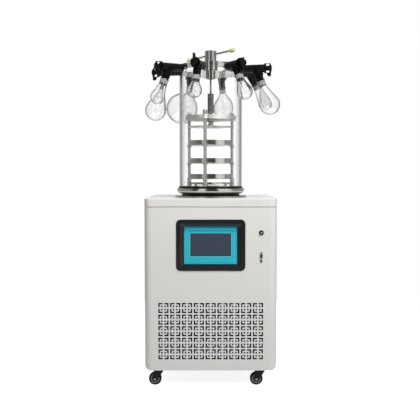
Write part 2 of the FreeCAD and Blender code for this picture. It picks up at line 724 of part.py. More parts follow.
# ---- front fittings ----
def selector_switch():
    """Fixed bezel ring of the rotary switch, with its body behind the panel."""
    ring_y = front_y - SELECTOR_RING
    plate = rod_y(SELECTOR_RADIUS, ring_y, front_y, FITTING_X, SELECTOR_Z)
    plate = plate.makeChamfer(SELECTOR_CHAMFER, front_edges(plate, ring_y))
    neck = rod_y(SELECTOR_RADIUS * FITTING_NECK, front_y, panel_back_y + OVER, FITTING_X, SELECTOR_Z)
    block = box(FITTING_X - SELECTOR_BODY / 2, FITTING_X + SELECTOR_BODY / 2, panel_back_y + SEAT_GAP,
                front_y + SELECTOR_DEPTH, SELECTOR_Z - SELECTOR_BODY_HEIGHT / 2,
                SELECTOR_Z + SELECTOR_BODY_HEIGHT / 2)
    bore = rod_y(STEM_RADIUS + RUN_GAP, ring_y - OVER, front_y + STEM_DEPTH + OVER, FITTING_X, SELECTOR_Z)
    return fused([plate, neck, block]).cut(bore)


def selector_knob():
    """Thin disc with a raised grip bar, on a stem through the panel."""
    disc_back = front_y - SELECTOR_RING - SEAT_GAP
    disc_y = disc_back - SELECTOR_DISC
    disc = rod_y(SELECTOR_DISC_RADIUS, disc_y, disc_back, FITTING_X, SELECTOR_Z)
    reach = SELECTOR_DISC_RADIUS - OVER
    grip = box(FITTING_X - SELECTOR_GRIP / 2, FITTING_X + SELECTOR_GRIP / 2,
               front_y - SELECTOR_PROUD, disc_y, SELECTOR_Z - reach, SELECTOR_Z + reach)
    grip = grip.rotated(V(FITTING_X, 0, SELECTOR_Z), V(0, 1, 0), SELECTOR_TURN)
    stem = rod_y(STEM_RADIUS, disc_y, front_y + STEM_DEPTH, FITTING_X, SELECTOR_Z)
    return fused([disc, grip, stem])


def drain_cock():
    """Cock body with its spindle hole, and the outlet nozzle below it."""
    collar_y = front_y - COCK_PROUD + LEVER_THICK + SEAT_GAP
    body = rod_y(COCK_RADIUS, collar_y, front_y, FITTING_X, COCK_Z)
    neck = rod_y(COCK_RADIUS * FITTING_NECK, front_y, panel_back_y + OVER, FITTING_X, COCK_Z)
    low, back = COCK_Z - OUTLET_DROP, front_y + COCK_DEPTH
    outlet = rod_y(OUTLET_RADIUS, front_y - OUTLET_PROUD, back, FITTING_X, low)
    flange = rod_y(OUTLET_FLANGE_RADIUS, front_y - OUTLET_FLANGE, front_y, FITTING_X, low)
    block = box(FITTING_X - COCK_BODY / 2, FITTING_X + COCK_BODY / 2, panel_back_y + SEAT_GAP, back,
                low - OUTLET_PROUD, COCK_Z + COCK_BODY / 2)
    cuts = [
        rod_y(OUTLET_BORE, front_y - OUTLET_PROUD - OVER, front_y + COCK_DEPTH * 0.75, FITTING_X, low),
        rod_y(SPINDLE_RADIUS + RUN_GAP, collar_y - OVER, front_y + SPINDLE_DEPTH + OVER, FITTING_X, COCK_Z),
    ]
    return fused([body, neck, block, outlet, flange]).cut(cuts)


def drain_lever():
    """Tapered lever on a small hub, with its spindle."""
    y0 = front_y - COCK_PROUD
    top, middle, foot = LEVER_TIP_WIDTH / 2, LEVER_WIDTH / 2, LEVER_FOOT_WIDTH / 2
    outline = [(-top, LEVER_UP), (top, LEVER_UP), (middle, 0), (foot, -LEVER_DOWN), (-foot, -LEVER_DOWN),
               (-middle, 0)]
    blade = prism_y([(FITTING_X + x, COCK_Z + z) for x, z in outline], y0, y0 + LEVER_THICK)
    hub = rod_y(LEVER_HUB_RADIUS, y0 - LEVER_HUB_PROUD, y0 + LEVER_THICK, FITTING_X, COCK_Z)
    spindle = rod_y(SPINDLE_RADIUS, y0, front_y + SPINDLE_DEPTH, FITTING_X, COCK_Z)
    return fused([blade, hub, spindle])


# ---- side and rear fittings ----
def power_switch():
    """Frame of the mains rocker switch in the right side."""
    outer = half_width + FRAME_PROUD
    half_y, half_z = SWITCH_WIDTH / 2, SWITCH_HEIGHT / 2
    frame = box(half_width, outer, switch_y - half_y, switch_y + half_y,
                SWITCH_Z - half_z, SWITCH_Z + half_z)
    half_y, half_z = half_y - FRAME_LIP - SEAT_GAP, half_z - FRAME_LIP - SEAT_GAP
    body = box(half_width - SWITCH_DEPTH, half_width, switch_y - half_y, switch_y + half_y,
               SWITCH_Z - half_z, SWITCH_Z + half_z)
    half_y, half_z = half_y - FRAME_LIP, half_z - OVER
    pocket = box(half_width - SWITCH_POCKET, outer + OVER, switch_y - half_y, switch_y + half_y,
                 SWITCH_Z - half_z, SWITCH_Z + half_z)
    return frame.fuse(body).cut(pocket).removeSplitter()


def power_rocker():
    """Rocker with two faces in a flat V, pressed in at its lower end."""
    y0, y1 = switch_y - ROCKER_WIDTH / 2, switch_y + ROCKER_WIDTH / 2
    root, reach = ROCKER_ROOT, ROCKER_REACH
    points = [(-root, -root + OVER), (-root, root - OVER), (ROCKER_BACK, reach), (SIDE_PROUD, reach),
              (ROCKER_VALLEY, 0), (ROCKER_VALLEY, -reach), (ROCKER_VALLEY - ROCKER_THICK, -reach)]
    wire = Part.makePolygon([V(half_width + x, y0, SWITCH_Z + z) for x, z in points + points[:1]])
    return Part.Face(wire).extrude(V(0, y1 - y0, 0))


def outlet_socket(width, height):
    """A mains socket facing +Z: its rim, and its body with an open recess."""
    rim = box(-width / 2, width / 2, -height / 2, height / 2, 0, FRAME_PROUD)
    inset = FRAME_LIP + SEAT_GAP
    body = box(-width / 2 + inset, width / 2 - inset, -height / 2 + inset, height / 2 - inset,
               -SOCKET_DEPTH, 0)
    recess = box(-width / 2 + SOCKET_WALL, width / 2 - SOCKET_WALL, -height / 2 + SOCKET_WALL,
                 height / 2 - SOCKET_WALL, FRAME_PROUD - SOCKET_RECESS, FRAME_PROUD + OVER)
    return rim.fuse(body).cut(recess).removeSplitter()


def power_sockets():
    """The vacuum pump's socket in the right side and the mains inlet at the back."""
    pump = outlet_socket(SOCKET_HEIGHT, SOCKET_WIDTH)
    pump = pump.rotated(V(0, 0, 0), V(0, 1, 0), 90).translated(V(half_width, switch_y, SOCKET_Z))
    inlet = outlet_socket(SOCKET_WIDTH, SOCKET_HEIGHT)
    inlet = inlet.rotated(V(0, 0, 0), V(1, 0, 0), -90).translated(V(INLET_X, back_y, INLET_Z))
    return Part.makeCompound([pump, inlet])


def vacuum_port():
    """Pipe from the cold trap through the rear panel, ending in a small clamp flange."""
    outer, thick = VACUUM_BORE + VACUUM_WALL, VACUUM_FLANGE_THICK
    start = chamber_y + TRAP_RADIUS
    end = back_y + VACUUM_PROUD
    pipe = rod_y(outer, start, end, 0, vacuum_z)
    flange = rod_y(VACUUM_FLANGE, end - thick, end, 0, vacuum_z)
    taper = Part.makeCone(outer, VACUUM_FLANGE, thick, V(0, end - 2 * thick, vacuum_z), V(0, 1, 0))
    bore = rod_y(VACUUM_BORE, start - OVER, end + OVER, 0, vacuum_z)
    well = rod(TRAP_RADIUS + TRAP_WALL, vacuum_z - 2 * outer, vacuum_z + 2 * outer, 0, chamber_y)
    return fused([pipe, flange, taper]).cut([bore, well])


# ---- casters ----
def caster_places():
    y_front, y_back = front_y + CASTER_INSET, back_y - CASTER_INSET
    return {"front_left": (-CASTER_X, y_front), "front_right": (CASTER_X, y_front),
            "rear_left": (-CASTER_X, y_back), "rear_right": (CASTER_X, y_back)}


def caster_plates():
    """Mounting plates with the king pins below and, through the folded edge, a boss up to the tray."""
    plates = []
    low = CABINET_BOTTOM - PLATE_THICK
    half = PLATE_SIZE / 2
    for name, (x, y) in caster_places().items():
        plate = box(x - half, x + half, y - half, y + half, low, CABINET_BOTTOM)
        boss_radius = FRONT_BOSS_RADIUS if name.startswith("front") else FLOOR_BOSS_RADIUS
        boss = rod(boss_radius, CABINET_BOTTOM, CABINET_BOTTOM + SHEET, x, y)
        pin = rod(KING_PIN_RADIUS, low - KING_PIN_LENGTH, low, x, y)
        plates.append(fused([plate, boss, pin]))
    return Part.makeCompound(plates)


def caster_fork(x, y):
    """Swivel head, two cheeks that lean back over the wheel, and the axle."""
    head_top = CABINET_BOTTOM - PLATE_THICK - SEAT_GAP
    crown = head_top - HEAD_HEIGHT
    axle_x, inner = -CASTER_TRAIL, WHEEL_WIDTH / 2 + CHEEK_GAP
    front, back = HEAD_RADIUS - CHEEK, -HEAD_RADIUS - BOLT_HEAD_RADIUS
    head = rod(HEAD_RADIUS, crown, head_top)
    bridge = box(back, front, -inner - CHEEK, inner + CHEEK, crown - CHEEK, crown)
    boss = AXLE_RADIUS * 2
    outline = [(front, crown), (front - CHEEK, crown - boss), (axle_x + boss, WHEEL_RADIUS - AXLE_RADIUS),
               (axle_x + AXLE_RADIUS, WHEEL_RADIUS - boss), (axle_x - AXLE_RADIUS, WHEEL_RADIUS - boss),
               (axle_x - boss, WHEEL_RADIUS - AXLE_RADIUS), (axle_x - boss, WHEEL_RADIUS + boss),
               (back, crown)]
    cheeks = [prism_y(outline, side * inner, side * (inner + CHEEK)) for side in (-1, 1)]
    reach = inner + CHEEK + BOLT_HEAD
    axle = rod_y(AXLE_RADIUS, -reach, reach, axle_x, WHEEL_RADIUS)
    bolt_heads = [rod_y(BOLT_HEAD_RADIUS, -reach, -inner - CHEEK, axle_x, WHEEL_RADIUS),
                  rod_y(BOLT_HEAD_RADIUS, inner + CHEEK, reach, axle_x, WHEEL_RADIUS)]
    room = rod(KING_PIN_RADIUS + RUN_GAP, crown - CHEEK - OVER, head_top + OVER)
    fork = fused([head, bridge, axle] + cheeks + bolt_heads).cut(room)
    return fork.translated(V(x, y, 0))


def caster_wheel(x, y):
    """Tyre with rounded shoulders, a recessed web and a hub, on its own axle line along Y."""
    half, bore = WHEEL_WIDTH / 2, AXLE_RADIUS + RUN_GAP
    tread, web = WHEEL_RADIUS, WHEEL_RADIUS - TYRE_DEPTH
    side = [(bore, half + HUB_PROUD), (HUB_RADIUS, half + HUB_PROUD),
            (HUB_RADIUS + TYRE_ROUND / 2, half - WEB_RECESS), (web - TYRE_ROUND / 2, half - WEB_RECESS),
            (web, half), (tread - TYRE_ROUND, half), (tread - TYRE_ROUND / 4, half - TYRE_ROUND / 2),
            (tread, half - TYRE_ROUND)]
    outline = side + [(r, -z) for r, z in reversed(side)]
    wheel = turned(outline).rotated(V(0, 0, 0), V(1, 0, 0), 90)
    return wheel.translated(V(x - CASTER_TRAIL, y, WHEEL_RADIUS))


# ---- chamber stack ----
def cold_trap():
    """Deep-drawn stainless well, hung in the cover by its wide flange."""
    outer_r, floor_z = TRAP_RADIUS + TRAP_WALL, trap_base + TRAP_WALL
    top = CABINET_TOP + BASE_FLANGE
    can = rod(outer_r, trap_base, CABINET_TOP)
    can = can.makeFillet(TRAP_CORNER, edges_to(can, trap_base))
    flange = rod(BASE_FLANGE_RADIUS, CABINET_TOP, top)
    flange = flange.makeFillet(TRAP_WALL, edges_from(flange, top))
    hollow = rod(TRAP_RADIUS, floor_z, top + OVER)
    hollow = hollow.makeFillet(TRAP_CORNER - TRAP_WALL, edges_to(hollow, floor_z))
    port = rod_y(VACUUM_BORE, 0, outer_r + OVER, 0, vacuum_z)
    return at_chamber(can.fuse(flange).cut([hollow, port]).removeSplitter())


def trap_jacket():
    """Foamed insulation round the well, with the way out for the vacuum pipe."""
    inner, low = TRAP_RADIUS + TRAP_WALL + SEAT_GAP, trap_base - SEAT_GAP
    outer = inner + JACKET_WALL
    top = CABINET_TOP - COVER_EDGE - SEAT_GAP
    block = rod(outer, trap_base - JACKET_WALL, top)
    space = rod(inner, low, top + OVER)
    space = space.makeFillet(TRAP_CORNER, edges_to(space, low))
    way = rod_y(VACUUM_BORE + VACUUM_WALL + SEAT_GAP, 0, outer + OVER, 0, vacuum_z)
    return at_chamber(block.cut([space, way]))


def chamber_gaskets():
    """Black rubber rings below the polished ring and under the chamber's wall."""
    lower = ring(TRAP_RADIUS, LOWER_GASKET_RADIUS, lower_gasket_z, seal_ring_z)
    outer = TUBE_RADIUS + UPPER_GASKET_LIP
    upper = ring(TUBE_RADIUS - TUBE_WALL - SEAT_GAP, outer, upper_gasket_z, tube_z)
    outer_rim = [e for e in edges_from(upper, tube_z) if e.BoundBox.XLength > 2 * outer - OVER]
    upper = upper.makeFillet(GASKET_EDGE, outer_rim)
    return Part.makeCompound([at_chamber(lower), at_chamber(upper)])


def seal_ring():
    """Polished stainless ring with a rolled rim: the seat of the chamber."""
    z0, z1, r, roll = seal_ring_z, upper_gasket_z, SEAL_RING_RADIUS, SEAL_RING_ROLL
    outline = [(SEAL_RING_MOUTH, z0), (LOWER_GASKET_RADIUS + roll / 4, z0), (r - roll, z0 + roll * 0.4),
               (r - roll / 4, z0 + roll), (r, z0 + roll * 1.6), (r, z1 - roll / 2),
               (r - roll * 0.15, z1 - roll * 0.15), (r - roll / 2, z1), (SEAL_RING_MOUTH, z1)]
    return at_chamber(turned(outline))


def chamber_tube():
    return at_chamber(ring(TUBE_RADIUS - TUBE_WALL, TUBE_RADIUS, tube_z, lid_z))


def manifold_lid():
    """Thick acrylic lid with a locating step, the press gland's hole and eight drilled nipples."""
    plate = rod(TUBE_RADIUS, lid_z, lid_top)
    plate = plate.makeFillet(LID_EDGE, edges_from(plate, lid_top))
    low = lid_z - LID_STEP
    step = rod(TUBE_RADIUS - TUBE_WALL - SEAT_GAP, low, lid_z)
    pieces, drills = [plate, step], [rod(GLAND_RADIUS, low - OVER, lid_top + OVER)]
    end = TUBE_RADIUS + NIPPLE_LENGTH
    for port in range(PORTS):
        nipple = rod_x(NIPPLE_RADIUS, TUBE_RADIUS - TUBE_WALL, end, 0, manifold_z)
        drill = rod_x(NIPPLE_BORE, TUBE_RADIUS - NIPPLE_DRILL, end + OVER, 0, manifold_z)
        down = rod(DOWN_DRILL, low - OVER, manifold_z, TUBE_RADIUS - NIPPLE_DRILL + DOWN_INSET)
        for tool, shapes in ((nipple, pieces), (drill, drills), (down, drills)):
            shapes.append(tool.rotated(V(0, 0, 0), UP, port_angle(port)))
    return at_chamber(fused(pieces).cut(drills))


# ---- stoppering press ----
def press_gland():
    """Steel sleeve through the lid, bored for the press screw and recessed below."""
    low = lid_z - GLAND_BELOW_LID
    sleeve = rod(GLAND_RADIUS, low, cap_z - SEAT_GAP)
    collar = rod(GLAND_RADIUS + GLAND_COLLAR_LIP, lid_top, lid_top + GLAND_COLLAR)
    cuts = [rod(SCREW_RADIUS + RUN_GAP, low - OVER, cap_z + OVER),
            rod(GLAND_RADIUS - GLAND_WALL, low - OVER, low + GLAND_RECESS)]
    return at_chamber(fused([sleeve, collar]).cut(cuts))


def along_bar(shape):
    """Turns a piece modelled along +X to the cross bar's direction."""
    shape = shape.rotated(V(0, 0, 0), V(0, -1, 0), BAR_LEAN).rotated(V(0, 0, 0), UP, BAR_ANGLE)
    return at_chamber(shape.translated(V(0, 0, cap_z + BAR_ABOVE_CAP_BASE)))


def press_cap():
    """Round cap that carries the cross bar and turns the screw."""
    top, groove_z = cap_z + CAP_HEIGHT, cap_z + CAP_GROOVE_Z
    cap = rod(CAP_RADIUS, cap_z, top)
    cap = cap.makeFillet(CAP_EDGE, edges_from(cap, top))
    groove = ring(CAP_RADIUS - CAP_GROOVE_DEPTH, CAP_RADIUS + OVER, groove_z, groove_z + CAP_GROOVE)
    socket = rod(SCREW_RADIUS + SEAT_GAP, cap_z - OVER, cap_z + SCREW_IN_CAP + OVER)
    hole = rod_x(BAR_RADIUS + SEAT_GAP, -CAP_RADIUS - OVER, CAP_RADIUS + OVER)
    return at_chamber(cap.cut([groove, socket])).cut(along_bar(hole))


def bar_ends():
    return -BAR_LENGTH / 2, BAR_LENGTH / 2


def handle_bar():
    left, right = bar_ends()
    return along_bar(rod_x(BAR_RADIUS, left + TIP_END_WALL, right - TIP_END_WALL))


def handle_tips():
    """Moulded grips on both ends of the cross bar."""
    tips = []
    for end, inward in zip(bar_ends(), (1, -1)):
        start = min(end, end + inward * TIP_LENGTH)
        grip = rod_x(TIP_RADIUS, start, start + TIP_LENGTH)
        grip = grip.makeFillet(TIP_EDGE, end_circles(grip, start, start + TIP_LENGTH))
        deep, mouth = end + inward * TIP_END_WALL, end + inward * (TIP_LENGTH + OVER)
        hole = rod_x(BAR_RADIUS + SEAT_GAP, min(deep, mouth), max(deep, mouth))
        tips.append(along_bar(grip.cut(hole)))
    return Part.makeCompound(tips)


def lead_screw():
    """The press screw: it turns with the cap and drives the ram, which is its nut."""
    low = press_top + RAM_LENGTH - PRESS_TRAVEL - SCREW_GRIP
    return at_chamber(rod(SCREW_RADIUS, low, cap_z + SCREW_IN_CAP))


def press_ram():
    """Threaded ram tube with its foot, standing on the press plate."""
    foot_top, ram_top = press_top + RAM_FOOT, press_top + RAM_LENGTH
    foot = rod(RAM_FOOT_RADIUS, press_top, foot_top)
    body = rod(RAM_RADIUS, foot_top, ram_top)
    groove_z = foot_top + SHEET
    waist = ring(RAM_RADIUS - RAM_GROOVE_DEPTH, RAM_RADIUS + OVER, groove_z, groove_z + RAM_GROOVE)
    bore = rod(SCREW_RADIUS + RUN_GAP, foot_top, ram_top + OVER)
    return at_chamber(fused([foot, body]).cut([waist, bore]))


def post_places():
    return [(RACK_CIRCLE * math.cos(math.radians(a)), RACK_CIRCLE * math.sin(math.radians(a)))
            for a in RACK_ANGLES]


def press_plate():
    """Thick press plate with three guide ears, and the thin follower plate on its hub below."""
    plate = rod(PRESS_EDGE_RADIUS, PRESS_Z, press_top)
    ears = [rod(PRESS_RADIUS - RACK_CIRCLE, PRESS_Z, press_top, x, y) for x, y in post_places()]
    plate = fused([plate] + ears)
    low, rim = PRESS_Z - PRESS_HUB, PRESS_HUB_RADIUS
    hub = turned([(0, low), (rim, low), (rim, low + PRESS_HUB_RIM),
                  (PRESS_HUB_WAIST, PRESS_Z - PRESS_HUB / 2),
                  (rim, PRESS_Z - PRESS_HUB_RIM), (rim, PRESS_Z), (0, PRESS_Z)])
    follower = rod(FOLLOWER_RADIUS, low - PRESS_SHEET, low)
    guides = [rod(RACK_POST_RADIUS + SEAT_GAP, low - PRESS_SHEET - OVER, press_top + OVER, x, y)
              for x, y in post_places()]
    return at_chamber(fused([plate, hub, follower]).cut(guides))


# ---- shelf rack ----
def shelf_rack():
    """Base ring with three polished posts, their feet, the collars that carry the shelves, and nuts."""
    top = rack_z + RACK_BASE_THICK
    pieces = [ring(RACK_BASE_MOUTH, TUBE_RADIUS - TUBE_WALL - RACK_BASE_GAP, rack_z, top)]
    nut_z = press_top + SEAT_GAP
    nut_top = nut_z + NUT_HEIGHT
    for x, y in post_places():
        pieces.append(rod(RACK_POST_RADIUS, top, nut_z, x, y))
        pieces.append(rod(RACK_FOOT_RADIUS, top, top + RACK_FOOT, x, y))
        nut = rod(NUT_RADIUS, nut_z, nut_top, x, y)
        pieces.append(nut.makeFillet(NUT_DOME, edges_from(nut, nut_top)))
        for low in SHELF_HEIGHTS.values():
            pieces.append(rod(COLLAR_RADIUS, low - COLLAR, low, x, y))
    return at_chamber(fused(pieces))


def baffle_disc():
    """Round baffle over the mouth of the cold trap, on three short spacers."""
    low = rack_z + RACK_BASE_THICK
    disc_z = low + BAFFLE_SPACER
    disc = rod(BAFFLE_RADIUS, disc_z, disc_z + BAFFLE_THICK)
    disc = disc.makeFillet(BAFFLE_EDGE, edges_from(disc, disc_z + BAFFLE_THICK))
    out = (RACK_BASE_MOUTH + BAFFLE_RADIUS) / 2
    spacers = [rod(SPACER_RADIUS, low, disc_z, out * math.cos(turn), out * math.sin(turn))
               for turn in map(math.radians, RACK_ANGLES)]
    return at_chamber(fused([disc] + spacers))


def shelf(low):
    """A pressed shelf pan with three lugs that rest on the rack's collars."""
    inner, top = SHELF_RADIUS - SHELF_SHEET, low + SHELF_RIM
    pan = rod(SHELF_RADIUS, low, top)
    pan = pan.makeFillet(SHELF_EDGE, edges_to(pan, low))
    pan = pan.cut(rod(inner, low + SHELF_SHEET, top + OVER))
    lugs, holes = [], []
    for angle, (x, y) in zip(RACK_ANGLES, post_places()):
        arm = box(inner, RACK_CIRCLE, -LUG_WIDTH / 2, LUG_WIDTH / 2, low, low + LUG_THICK)
        lugs.append(arm.rotated(V(0, 0, 0), UP, angle))
        lugs.append(rod(LUG_EYE, low, low + LUG_THICK, x, y))
        holes.append(rod(RACK_POST_RADIUS + SEAT_GAP, low - OVER, low + LUG_THICK + OVER, x, y))
    lugs = fused(lugs).cut(rod(SHELF_RADIUS - SHELF_SHEET / 2, low - OVER, top))
    return at_chamber(fused([pan, lugs]).cut(holes))


# ---- manifold valves and flasks ----
def down_branch(shape, lean):
    """Turns a piece modelled down -Z from the origin to the branch's slant, at the branch's root."""
    shape = shape.rotated(V(0, 0, 0), V(0, 1, 0), -lean)
    return shape.translated(V(BRANCH_AT, 0, manifold_z))


def valve_body(lean):
    """One moulded rubber valve: barrel over the lid's nipple, slanted branch, stopper for the flask."""
    barrel = rod_x(BARREL_RADIUS, barrel_start, barrel_end, 0, manifold_z)
    barrel = barrel.makeFillet(BARREL_ROUND, end_circles(barrel, barrel_start, barrel_start))
    cone = Part.makeCone(BRANCH_TOP_RADIUS, BRANCH_END_RADIUS, BRANCH_LENGTH, V(0, 0, 0), V(0, 0, -1))
    stopper_r = NECK_RADIUS - GLASS - SEAT_GAP
    stopper = Part.makeCone(stopper_r, stopper_r - STOPPER_TAPER, STOPPER_LENGTH,
                            V(0, 0, -BRANCH_LENGTH), V(0, 0, -1))
    below = box(BRANCH_AT - BRANCH_LENGTH, BRANCH_AT + BRANCH_LENGTH, -BRANCH_LENGTH, BRANCH_LENGTH,
                manifold_z - 2 * BRANCH_LENGTH, manifold_z)
    branch = down_branch(fused([cone, stopper]), lean).common(below)
    bore = rod(BRANCH_BORE, -BRANCH_LENGTH - STOPPER_LENGTH - OVER, -BARREL_RADIUS)
    cuts = [rod_x(NIPPLE_RADIUS, barrel_start - OVER, TUBE_RADIUS + NIPPLE_LENGTH + OVER, 0, manifold_z),
            rod_x(PLUG_RADIUS + RUN_GAP, barrel_end - PLUG_LENGTH - OVER, barrel_end + OVER, 0, manifold_z),
            down_branch(bore, lean)]
    return barrel.fuse(branch).cut(cuts).removeSplitter()


def valve_bodies():
    return Part.makeCompound([at_port(valve_body(hung[port][2]), port) for port in range(PORTS)])


def knob_wing(x1, x2, x3):
    """Flat wing across the knob's axis, slotted above and below the waist, that ends in the paddle."""
    edge, tip_x, half = KNOB_FLANGE_RADIUS - OVER, x3 - PADDLE_LEAN, WING_THICK / 2
    outline = [(x1, edge), (x3 - KNOB_FLANGE, edge), (x3 - OVER, WING_WAIST), (x3 - OVER, -WING_WAIST),
               (tip_x, -PADDLE_REACH), (tip_x - PADDLE_TIP_WIDTH, -PADDLE_REACH),
               (x1 + KNOB_FLANGE, -edge), (x1, -edge)]
    near = KNOB_WAIST_RADIUS + SLOT_LIFT
    far = edge - WING_RIM
    slots = [box(x1 + SLOT_LIFT, x2, -half - OVER, half + OVER, near, far),
             box(x1 + SLOT_LIFT, x2, -half - OVER, half + OVER, -far, -near)]
    return prism_y(outline, -half, half).cut(slots)


def valve_knob(port):
    """Plug with a flange, a waist with the wing and its paddle, and a round end."""
    x0 = barrel_end + SEAT_GAP
    x1 = x0 + KNOB_FLANGE
    x2 = x1 + KNOB_WAIST
    x3 = x2 + KNOB_END
    plug = rod_x(PLUG_RADIUS, barrel_end - PLUG_LENGTH, x0)
    inner = rod_x(KNOB_FLANGE_RADIUS, x0, x1)
    inner = inner.makeFillet(KNOB_FLANGE_EDGE, end_circles(inner, x0, x1))
    waist = rod_x(KNOB_WAIST_RADIUS, x1, x2)
    outer = rod_x(KNOB_END_RADIUS, x2, x3)
    outer = outer.makeFillet(KNOB_END_EDGE, end_circles(outer, x3, x3))
    knob = fused([plug, inner, waist, outer, knob_wing(x1, x2, x3)])
    if port == RAISED_PADDLE_PORT:
        knob = knob.rotated(V(0, 0, 0), V(1, 0, 0), 180)
    return at_port(knob.translated(V(0, 0, manifold_z)), port)


def pear(neck, bulb, length, top):
    """Half outline of a pear-shaped flask from its rim down, turned into a solid."""
    centre = -(length - bulb)
    bend = -NECK_LENGTH
    far = math.hypot(neck, bend - centre)
    lean = math.atan2(neck, bend - centre) + math.acos(bulb / far)
    touch = V(bulb * math.sin(lean), 0, centre + bulb * math.cos(lean))
    corner = V(neck, 0, bend)
    down = (touch - corner).normalize()
    turn = V(0, 0, -1).getAngle(down)
    cut = min(NECK_BLEND, (touch - corner).Length / 2 - OVER)
    start = corner + V(0, 0, cut)
    end = corner + down * cut
    hub = start + V(cut / math.tan(turn / 2), 0, 0)
    bow = hub + (corner - hub).normalize() * (hub - start).Length
    halfway = (lean + math.pi) / 2
    low = V(bulb * math.sin(halfway), 0, centre + bulb * math.cos(halfway))
    bottom = V(0, 0, centre - bulb)
    outline = Part.Wire([
        Part.makeLine(V(0, 0, top), V(neck, 0, top)),
        Part.makeLine(V(neck, 0, top), start),
        Part.Arc(start, bow, end).toShape(),
        Part.makeLine(end, touch),
        Part.Arc(touch, low, bottom).toShape(),
        Part.makeLine(bottom, V(0, 0, top)),
    ])
    return Part.Face(outline).revolve(V(0, 0, 0), UP, 360)


def flask(port, bulb, length, lean):
    """A thin-walled glass flask whose rim sits against the valve's branch."""
    outer = pear(NECK_RADIUS, bulb / 2, length, 0)
    inner = pear(NECK_RADIUS - GLASS, bulb / 2 - GLASS, length - GLASS, OVER)
    lip = rod(LIP_RADIUS, -LIP, 0)
    lip = lip.makeFillet(LIP_EDGE, edges_from(lip, 0) + edges_to(lip, -LIP))
    glass = outer.fuse(lip).cut(inner)
    seated = down_branch(glass.translated(V(0, 0, -BRANCH_LENGTH)), lean)
    return at_port(seated, port)


# ---- machinery ----
def condenser():
    """Finned coil block on two end plates that stand on the tray."""
    y0, half = fan_y - CONDENSER_THICK, CONDENSER_WIDTH / 2
    z0 = tray_top + CONDENSER_LIFT
    ends = [box(x, x + END_PLATE, y0, fan_y, tray_top, condenser_top) for x in (-half, half - END_PLATE)]
    rows = [rod_x(COIL_RADIUS, -half, half, y, z0 + (row + 0.5) * COIL_PITCH)
            for row in range(COIL_ROWS) for y in (y0 + COIL_INSET, fan_y - COIL_INSET)]
    pitch = CONDENSER_WIDTH / (FIN_COUNT + 1)
    fin_x = [-half + pitch * (index + 1) - FIN_THICK / 2 for index in range(FIN_COUNT)]
    fins = [box(x, x + FIN_THICK, y0 + FIN_SETBACK, fan_y - FIN_SETBACK, z0, condenser_top - FIN_SETBACK)
            for x in fin_x]
    return fused(ends + rows + fins)


def fan_mount():
    """Shroud plate on the condenser with its round mouth, and the motor on three struts."""
    y1, half = fan_y + SHROUD_THICK, CONDENSER_WIDTH / 2
    plate = box(-half, half, fan_y, y1, tray_top, condenser_top)
    mouth = FAN_RADIUS + FAN_TIP_GAP
    plate = plate.cut(rod_y(mouth, fan_y - OVER, y1 + OVER, 0, fan_z))
    motor_y = y1 + FAN_DEPTH + MOTOR_GAP
    motor_back = motor_y + MOTOR_LENGTH
    motor = rod_y(MOTOR_RADIUS, motor_y, motor_back, 0, fan_z)
    motor = motor.makeFillet(MOTOR_EDGE, [e for e in motor.Edges if e.BoundBox.YMin > motor_back - TINY])
    shaft = rod_y(SHAFT_RADIUS, fan_y, motor_y, 0, fan_z)
    half, foot_y, out = STRUT_WIDTH / 2, motor_y + MOTOR_GAP, mouth + FAN_TIP_GAP
    struts = []
    for angle in STRUT_ANGLES:
        leg = box(-half, half, y1, foot_y, out - STRUT_THICK, out)
        foot = box(-half, half, foot_y - STRUT_THICK, foot_y, MOTOR_RADIUS - OVER, out)
        arm = leg.fuse(foot).translated(V(0, 0, fan_z))
        struts.append(arm.rotated(V(0, 0, fan_z), V(0, 1, 0), angle))
    return fused([plate, motor, shaft] + struts)


def fan_blades():
    """Hub with pitched blades, running free on the motor shaft."""
    y0 = fan_y + SHROUD_THICK / 2
    hub = rod_y(FAN_HUB, y0, y0 + FAN_DEPTH, 0, fan_z)
    blades = []
    for index in range(FAN_BLADES):
        blade = box(-BLADE_CHORD / 2, BLADE_CHORD / 2, -BLADE_THICK / 2, BLADE_THICK / 2,
                    FAN_HUB - BLADE_ROOT, FAN_RADIUS - BLADE_END_GAP)
        blade = blade.rotated(V(0, 0, 0), UP, BLADE_PITCH)
        blade = blade.common(rod_y(FAN_RADIUS, -FAN_DEPTH, FAN_DEPTH, 0, 0))
        blade = blade.rotated(V(0, 0, 0), V(0, 1, 0), index * 360.0 / FAN_BLADES)
        blades.append(blade.translated(V(0, y0 + FAN_DEPTH / 2, fan_z)))
    bore = rod_y(SHAFT_RADIUS + RUN_GAP, y0 - OVER, y0 + FAN_DEPTH + OVER, 0, fan_z)
    return fused([hub] + blades).cut(bore)


def compressor():
    """Hermetic compressor: domed can on a foot plate with four stubs."""
    r, z0 = COMPRESSOR_RADIUS, tray_top + COMPRESSOR_LIFT
    can_top = z0 + COMPRESSOR_HEIGHT
    can = rod(r, z0, can_top)
    can = can.makeFillet(COMPRESSOR_DOME, edges_from(can, can_top))
    can = can.makeFillet(COMPRESSOR_EDGE, edges_to(can, z0))
    seam = rod(SEAM_RADIUS, z0 + SEAM_LIFT, z0 + SEAM_LIFT + SEAM_HEIGHT)
    foot_z = tray_top + STUB_HEIGHT
    foot = box(-FOOT_LENGTH / 2, FOOT_LENGTH / 2, -FOOT_WIDTH / 2, FOOT_WIDTH / 2,
               foot_z, foot_z + FOOT_THICK)
    stubs = [rod(STUB_RADIUS, tray_top, foot_z, sx * STUB_X, sy * STUB_Y)
             for sx in (-1, 1) for sy in (-1, 1)]
    pipe = rod(SERVICE_PIPE_RADIUS, z0 + COMPRESSOR_DOME, z0 + SEAM_LIFT + COMPRESSOR_DOME,
               r + SERVICE_PIPE_RADIUS - OVER, 0)
    return fused([can, seam, foot, pipe] + stubs).translated(V(COMPRESSOR_X, COMPRESSOR_Y, 0))


